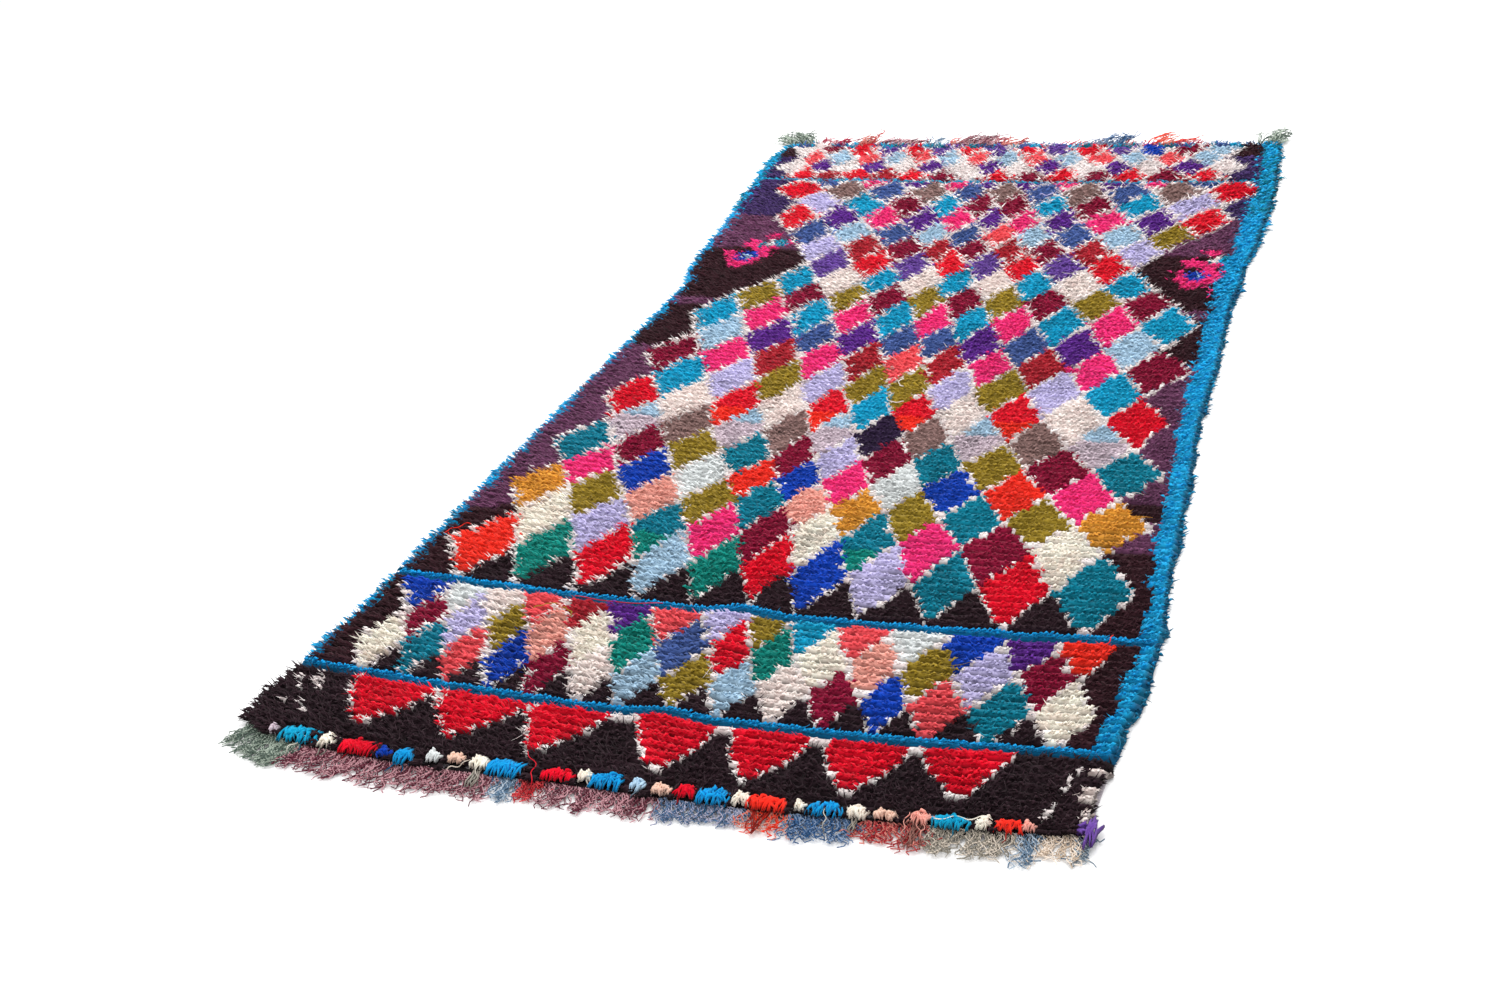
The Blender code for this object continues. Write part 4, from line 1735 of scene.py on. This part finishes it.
    def _loose(self, thread: LooseThread, rng: np.random.Generator) -> tuple:
        """Lay one loose thread over the pile and down onto the floor past its edge.

        Args:
            thread: The thread.
            rng: Source of the hand's unevenness.

        Returns:
            Points, point numbers of all faces, and corners of each face.
        """
        stations = 18
        share = np.linspace(0.0, 1.0, stations)
        heading = thread.heading + thread.curl * share
        heading = heading + thread.wiggle * np.sin(rng.uniform(0.0, math.tau) + 13.0 * share)
        step = thread.length / (stations - 1)
        x = thread.x + self.plan.knotting.plan_centre + np.cumsum(np.sin(heading)) * step
        y = self.plan.start + thread.along - np.cumsum(np.cos(heading)) * step
        outside = np.clip((self.plan.start - y) / 0.022, 0.0, 1.0)
        top = thread.height + 0.0015 * np.sin(9.0 * share)
        z = top + (0.0040 - top) * outside * outside * (3.0 - 2.0 * outside)
        path = np.stack([x, y, z], axis=1)[None]
        return tubes(path, np.full((1, stations), 0.0009))

    def _strays(self, knots: Knots, rng: np.random.Generator) -> ManyAlike:
        """Pull single long fibres out of some knots and let them curl over the pile.

        Args:
            knots: The knots.
            rng: Source of the hand's unevenness.

        Returns:
            The fibres.
        """
        owners = rng.choice(len(knots.x), self.strays, replace=False)
        stations = 6
        length = rng.uniform(0.016, 0.040, self.strays)
        share = np.linspace(0.0, 1.0, stations)[None, :]
        heading = rng.uniform(-1.3, 1.3, self.strays)[:, None]
        heading = heading + rng.normal(0.0, 1.2, self.strays)[:, None] * share
        step = (length / (stations - 1))[:, None]
        dx = np.sin(heading) * step
        dy = -np.cos(heading) * step
        path_x = knots.x[owners][:, None] + np.cumsum(dx, axis=1) - dx[:, :1]
        path_y = knots.y[owners][:, None] + np.cumsum(dy, axis=1) - dy[:, :1]
        lift = rng.uniform(0.002, 0.006, self.strays)[:, None]
        path_z = 0.0165 + lift * np.sin(math.pi * (0.15 + 0.75 * share))
        path_z[np.abs(knots.edge[owners]) < 0.03] -= 0.004
        paths = np.stack([path_x, path_y, path_z], axis=2)
        radius = np.full((self.strays, stations), 0.00055) * (1.0 - 0.5 * share)
        points, _, _ = tubes(paths, radius)
        faces = tube_faces(stations)
        return ManyAlike(points.reshape(self.strays, -1, 3), owners, faces)


def tube_faces(stations: int) -> tuple:
    """Return the faces of a three-sided tube, closed at both ends.

    Args:
        stations: How many rings it has.

    Returns:
        Faces as corner numbers.
    """
    faces = []
    for station in range(stations - 1):
        for step in range(3):
            here = 3 * station + step
            there = 3 * station + (step + 1) % 3
            faces.append((here, there, there + 3, here + 3))
    faces.append((2, 1, 0))
    faces.append((3 * stations - 3, 3 * stations - 2, 3 * stations - 1))
    return tuple(faces)


def tubes(paths: np.ndarray, radius: np.ndarray) -> tuple[np.ndarray, np.ndarray, np.ndarray]:
    """Wrap three-sided tubes round many paths.

    Args:
        paths: Points by path and station.
        radius: Radius by path and station.

    Returns:
        Points, point numbers of all faces, and corners of each face.
    """
    count, stations = paths.shape[:2]
    run = np.gradient(paths, axis=1)
    run /= np.linalg.norm(run, axis=2, keepdims=True)
    side = np.cross(run, np.array([0.0, 0.0, 1.0]))
    side /= np.maximum(np.linalg.norm(side, axis=2, keepdims=True), 1e-6)
    up = np.cross(side, run)
    points = []
    for step in range(3):
        angle = math.tau * step / 3 + 0.5 * math.pi
        points.append(paths + (math.cos(angle) * side + math.sin(angle) * up) * radius[..., None])
    points = np.stack(points, axis=2).reshape(count, 3 * stations, 3)
    return ManyAlike(points, np.zeros(count, dtype=int), tube_faces(stations)).of(np.array([True]))


@dataclass
class WarpFringe:
    """One end's fringe of twisted warp yarns, lying on the floor.

    Attributes:
        plan: Where the rows of knots lie.
        near: Whether it is the near end's.
        runs: Its stretches, from the left.
        slot: The record's material slot of its yarns; not used.
        node: The solid that it stands for.
        pitch: Distance from one cord to the next.
        radius: Radius of a cord.
        frizz: How much a cord curls.
        stations: How many rings a cord has.
        seed: Seed of the hand's unevenness.
    """

    NEAR_START = -0.664
    FAR_START = -0.655
    LEFTMOST = -0.715
    RIGHTMOST = 0.702

    plan: RugPlan
    near: bool
    runs: tuple
    slot: Slot
    node: str
    pitch: float = 0.0018
    radius: float = 0.0012
    frizz: float = 1.0
    stations: int = 9
    seed: int = 5
    pieces: list = field(default_factory=list)

    def build(self) -> list:
        """Make one piece for each twisted yarn.

        Returns:
            The pieces.
        """
        rng = np.random.default_rng(self.seed)
        groups = {}
        start = self.NEAR_START if self.near else self.FAR_START
        for run in self.runs:
            stop = run.upto - run.gap
            count = max(3, int((stop - start) / self.pitch * run.density))
            for crossing in (False, True):
                number = count // 2 + 1 if crossing else count
                paths, radius = self._cords(run, start, stop, number, crossing, rng)
                groups.setdefault(run.yarn, []).append(tubes(paths, radius))
            start = run.upto
        place = "near" if self.near else "far"
        for yarn, parts in groups.items():
            name = f"{place}_fringe_{yarn.name.lower()}"
            piece = add_piece(name, join(name, parts), TwistedWool().material(yarn, place))
            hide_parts(self.node)
            self.pieces.append(piece)
        return self.pieces

    def _cords(self, run: FringeRun, start: float, stop: float, count: int, crossing: bool,
               rng: np.random.Generator) -> tuple[np.ndarray, np.ndarray]:
        """Lay one run's cords.

        Args:
            run: The run.
            start: Where it starts across.
            stop: Where it stops.
            count: How many cords it has.
            crossing: Whether these are the short cords that cross the others at their roots.
            rng: Source of the hand's unevenness.

        Returns:
            The cords' paths and radii.
        """
        sign = -1.0 if self.near else 1.0
        along = 0.0 if self.near else self.plan.knotting.length
        left, right = (float(edge) for edge in self.plan.edges(np.array(along)))
        x = np.linspace(start, stop, count) + self.plan.knotting.plan_centre
        x += rng.normal(0.0, 0.0008, count)
        x = np.clip(x, left + 0.003, right - 0.003)
        root_x, root_y = self.plan.point((x - left) / (right - left), np.full(count, along))
        tuft = SmoothField(0.016, 31).at(root_x, np.full(count, 0.2 if self.near else 0.7))
        droop = SmoothField(0.05, 32).at(root_x, np.full(count, 0.4))
        length = run.length * (1.0 + 0.22 * tuft + 0.11 * rng.normal(0.0, 1.0, count))
        heading = run.lean + 0.38 * tuft + 0.12 * rng.normal(0.0, 1.0, count)
        if crossing:
            length = np.minimum(length, 0.030) * rng.uniform(0.6, 1.0, count)
            heading = run.lean + 0.9 + 0.35 * rng.normal(0.0, 1.0, count)
        length = np.clip(length, 0.008, 0.078 if self.near else 0.110)
        stations = self.stations - 4 if crossing else self.stations
        share = np.linspace(0.0, 1.0, stations)[None, :]
        wave = rng.uniform(0.0, math.tau, count)[:, None]
        curl = rng.normal(0.0, 1.5, count)[:, None]
        turn = heading[:, None] + self.frizz * np.sin(wave + 11.0 * share) * (0.4 + share)
        turn = turn + curl * np.maximum(share - 0.70, 0.0) / 0.30
        step = (length / (stations - 1))[:, None]
        dx = np.sin(turn) * step
        dy = sign * np.cos(turn) * step
        path_x = np.clip(root_x[:, None] + np.cumsum(dx, axis=1) - dx[:, :1], self.LEFTMOST, self.RIGHTMOST)
        path_y = root_y[:, None] - sign * 0.004 + np.cumsum(dy, axis=1) - dy[:, :1]
        out = share * length[:, None]
        fall = np.clip(out / 0.020, 0.0, 1.0)
        fall = fall * fall * (3.0 - 2.0 * fall)
        rest = self.radius + 0.0002 + 0.0022 * np.abs(np.sin(1.7 * wave + 5.0 * share))
        rest = rest + 0.0022 * np.maximum(droop, 0.0)[:, None]
        top = 0.0078 if crossing else 0.0068
        loft = (run.loft * rng.uniform(0.0, 1.0, count) ** 0.7)[:, None]
        rest = rest + loft * (1.0 - 0.20 * share)
        top = top + 0.5 * loft
        path_z = top + (rest - top) * fall
        path_z = path_z + rng.uniform(0.0, 0.0050, count)[:, None] * np.maximum(share - 0.8, 0.0) / 0.2
        thick = self.radius * np.clip(1.0 + 0.15 * rng.normal(0.0, 1.0, count), 0.7, 1.35)
        radius = thick[:, None] * (1.0 - 0.25 * share ** 2)
        return np.stack([path_x, path_y, path_z], axis=2), radius


@dataclass(frozen=True)
class TwistedWool:
    """Two plies of wool twisted together: the plies show as fine slanting flecks of two colours.

    Attributes:
        roughness: Roughness of loose wool fibre.
        ply: Length in metres of one turn of the twist.
    """

    roughness: float = 0.9
    ply: float = 0.0032

    def material(self, yarn: Twist, name: str) -> bpy.types.Material:
        """Make the yarn's finish.

        Args:
            yarn: The two plies.
            name: What the material is called before its yarn.

        Returns:
            The material.
        """
        material = empty_material(f"{name}_twisted_wool_{yarn.name.lower()}")
        tree = material.node_tree
        dark, light = (linear(ply) for ply in yarn.value)
        coords = add_node(tree, "ShaderNodeTexCoord")
        geometry = add_node(tree, "ShaderNodeNewGeometry")
        plies = add_node(tree, "ShaderNodeTexWave",
                         {"wave_type": "BANDS", "bands_direction": "DIAGONAL", "Scale": 0.314 / self.ply,
                          "Distortion": 4.0, "Detail": 1.0},
                         {"Vector": coords.outputs["Object"]})
        stray = add_node(tree, "ShaderNodeMath", {"operation": "MULTIPLY_ADD", 1: 2.6, 2: -1.42},
                         {0: geometry.outputs["Random Per Island"]})
        share = add_node(tree, "ShaderNodeMath", {"operation": "ADD", "use_clamp": True},
                         {0: plies.outputs["Fac"], 1: stray.outputs[0]})
        mixed = add_node(tree, "ShaderNodeMix", {"data_type": "RGBA", 6: dark, 7: light},
                         {0: share.outputs[0]})
        bump = add_node(tree, "ShaderNodeBump", {"Strength": 0.5, "Distance": 0.0006},
                        {"Height": plies.outputs["Fac"]})
        shader = add_node(tree, "ShaderNodeBsdfPrincipled",
                          {"Roughness": self.roughness, "Specular IOR Level": 0.15, "Sheen Weight": 0.12},
                          {"Base Color": mixed.outputs[2], "Normal": bump.outputs["Normal"]})
        add_node(tree, "ShaderNodeOutputMaterial", {}, {"Surface": shader.outputs[0]})
        return material


@dataclass
class Ground:
    """The woven ground that the knots are tied into: a thin sheet with a slightly wandering edge."""

    plan: RugPlan
    across: int = 30
    along: int = 100
    top: float = 0.0036
    underside: float = 0.0002
    inset: float = 0.001

    def build(self) -> bpy.types.Object:
        """Weave the ground as a closed thin sheet.

        Returns:
            The piece.
        """
        rows = np.linspace(0.0, self.plan.knotting.length, self.along + 1)
        shares = np.linspace(0.0, 1.0, self.across + 1)
        points = []
        for level in (self.top, self.underside):
            for along in rows:
                x, y = self.plan.point(shares, np.full_like(shares, along))
                x = x + self.inset * (1.0 - 2.0 * shares)
                points.extend((px, py, level) for px, py in zip(x, y))
        faces = self._faces(len(rows), len(shares))
        mesh = bpy.data.meshes.new("woven_ground")
        mesh.from_pydata(points, [], faces)
        mesh.update()
        piece = add_piece("woven_ground", mesh, WovenGround().material())
        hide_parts("rug_body")
        return piece

    @staticmethod
    def _faces(rows: int, columns: int) -> list:
        """Join the grid's upper and lower points and close its rim.

        Args:
            rows: Points along.
            columns: Points across.

        Returns:
            Faces as corner numbers.
        """
        below = rows * columns
        faces = []
        for row in range(rows - 1):
            for column in range(columns - 1):
                corner = row * columns + column
                quad = (corner, corner + 1, corner + columns + 1, corner + columns)
                faces.append(quad)
                faces.append(tuple(below + c for c in reversed(quad)))
        rim = list(range(columns))
        rim += [row * columns + columns - 1 for row in range(1, rows)]
        rim += [(rows - 1) * columns + c for c in range(columns - 2, -1, -1)]
        rim += [row * columns for row in range(rows - 2, 0, -1)]
        for here, there in zip(rim, rim[1:] + rim[:1]):
            faces.append((here, here + below, there + below, there))
        return faces


@dataclass(frozen=True)
class WovenGround:
    """Wool ground in tight weft-faced plain weave: fine cross ridges with painted shade in their valleys,
    undyed lilac-grey and matt.

    Attributes:
        colour: Its undyed colour, as an sRGB hex value.
        weft: Distance in metres from one weft ridge to the next.
    """

    colour: str = "B4AAB2"
    weft: float = 0.0032

    def material(self) -> bpy.types.Material:
        """Make the ground's finish.

        Returns:
            The material.
        """
        material = empty_material("woven_wool_ground")
        tree = material.node_tree
        coords = add_node(tree, "ShaderNodeTexCoord")
        weft = add_node(tree, "ShaderNodeTexWave",
                        {"wave_type": "BANDS", "bands_direction": "Y", "Scale": 0.314 / self.weft,
                         "Distortion": 1.5, "Detail": 2.0},
                        {"Vector": coords.outputs["Object"]})
        base = linear(self.colour)
        # Painted shade: the valleys between the weft ridges, low on the bump, are painted at half the
        # ground's colour.
        dark = tuple(0.5 * c for c in base[:3]) + (1.0,)
        mixed = add_node(tree, "ShaderNodeMix", {"data_type": "RGBA", 6: dark, 7: base},
                         {0: weft.outputs["Fac"]})
        bump = add_node(tree, "ShaderNodeBump", {"Strength": 0.6, "Distance": 0.001},
                        {"Height": weft.outputs["Fac"]})
        shader = add_node(tree, "ShaderNodeBsdfPrincipled", {"Roughness": 0.95, "Sheen Weight": 0.2},
                          {"Base Color": mixed.outputs[2], "Normal": bump.outputs["Normal"]})
        add_node(tree, "ShaderNodeOutputMaterial", {}, {"Surface": shader.outputs[0]})
        return material


@dataclass(frozen=True)
class Studio:
    """A pale floor, soft lights and the photograph's camera.

    Attributes:
        lens: Focal length in millimetres, for a sensor 36 mm wide.
        tilt: How far the camera looks down.
        turn: How far it is turned to the left.
        roll: How far it leans over.
        height: Its height over the floor.
        right_of_middle: How far it stands to the right of the rug's middle.
        before_edge: How far it stands before the near end's first knots.
        floor_colour: The floor's colour, as an sRGB hex value.
    """

    lens: float = 41.4
    tilt: float = math.radians(29.26)
    turn: float = math.radians(23.40)
    roll: float = math.radians(7.85)
    height: float = 1.527
    right_of_middle: float = 0.9785
    before_edge: float = 1.674
    floor_colour: str = "F4F4F4"

    def build(self, plan: RugPlan) -> None:
        """Set the floor, lights and camera.

        Args:
            plan: The rug's plan.
        """
        self._floor()
        self._lights()
        self._camera(plan)

    def _camera(self, plan: RugPlan) -> None:
        """Stand the camera where the photograph was taken."""
        forward = Vector((-math.sin(self.turn) * math.cos(self.tilt),
                          math.cos(self.turn) * math.cos(self.tilt), -math.sin(self.tilt)))
        level = Vector((math.cos(self.turn), math.sin(self.turn), 0.0))
        up = level.cross(forward)
        right = math.cos(self.roll) * level - math.sin(self.roll) * up
        up = math.cos(self.roll) * up + math.sin(self.roll) * level
        data = bpy.data.cameras.new("studio_camera")
        data.lens = self.lens
        data.sensor_width = 36.0
        data.sensor_fit = "HORIZONTAL"
        camera = bpy.data.objects.new("studio_camera", data)
        bpy.context.scene.collection.objects.link(camera)
        turned = Matrix((right, up, -forward)).transposed().to_4x4()
        turned.translation = (self.right_of_middle, plan.start - self.before_edge, self.height)
        camera.matrix_world = turned
        bpy.context.scene.camera = camera

    def _floor(self) -> None:
        """Lay the pale floor."""
        bpy.ops.mesh.primitive_plane_add(size=60.0, location=(0.0, 0.0, 0.0))
        floor = bpy.context.object
        floor.name = "studio_floor"
        material = bpy.data.materials.new("pale_painted_floor")
        material.use_nodes = True
        shader = material.node_tree.nodes["Principled BSDF"]
        shader.inputs["Base Color"].default_value = linear(self.floor_colour)
        shader.inputs["Roughness"].default_value = 0.9
        floor.data.materials.append(material)

    def _lights(self) -> None:
        """Hang one broad soft light over the far side, one over the left, and a pale sky."""
        for name, place, size, power in (
            ("overhead_softbox", (0.3, 1.6, 3.4), 3.2, 126.0),
            ("left_softbox", (-3.2, -0.8, 2.8), 2.6, 60.0),
        ):
            data = bpy.data.lights.new(name, "AREA")
            data.size = size
            data.energy = power
            light = bpy.data.objects.new(name, data)
            bpy.context.scene.collection.objects.link(light)
            light.location = place
            light.rotation_euler = (-Vector(place)).to_track_quat("-Z", "Y").to_euler()
        world = bpy.data.worlds.new("pale_sky")
        world.use_nodes = True
        background = world.node_tree.nodes["Background"]
        background.inputs["Color"].default_value = (1.0, 1.0, 1.0, 1.0)
        background.inputs["Strength"].default_value = 1.05
        bpy.context.scene.world = world


def main() -> None:
    """Load the frame, dress the rug and set the studio."""
    logging.basicConfig(level=logging.INFO, format="%(name)s: %(message)s")
    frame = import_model()
    knotting = Knotting()
    plan = RugPlan(frame, knotting)
    Studio().build(plan)
    bpy.context.scene.view_settings.view_transform = "Standard"
    pile = KnottedPile(plan, Chart(knotting)).build()
    near = WarpFringe(plan, True, NEAR_RUNS, Slot.NEAR, "fringe_near").build()
    far = WarpFringe(plan, False, FAR_RUNS, Slot.FAR, "fringe_far", pitch=0.0026, radius=0.0015, frizz=0.35,
                     stations=7, seed=6).build()
    ground = Ground(plan).build()


if __name__ == "__main__":
    main()
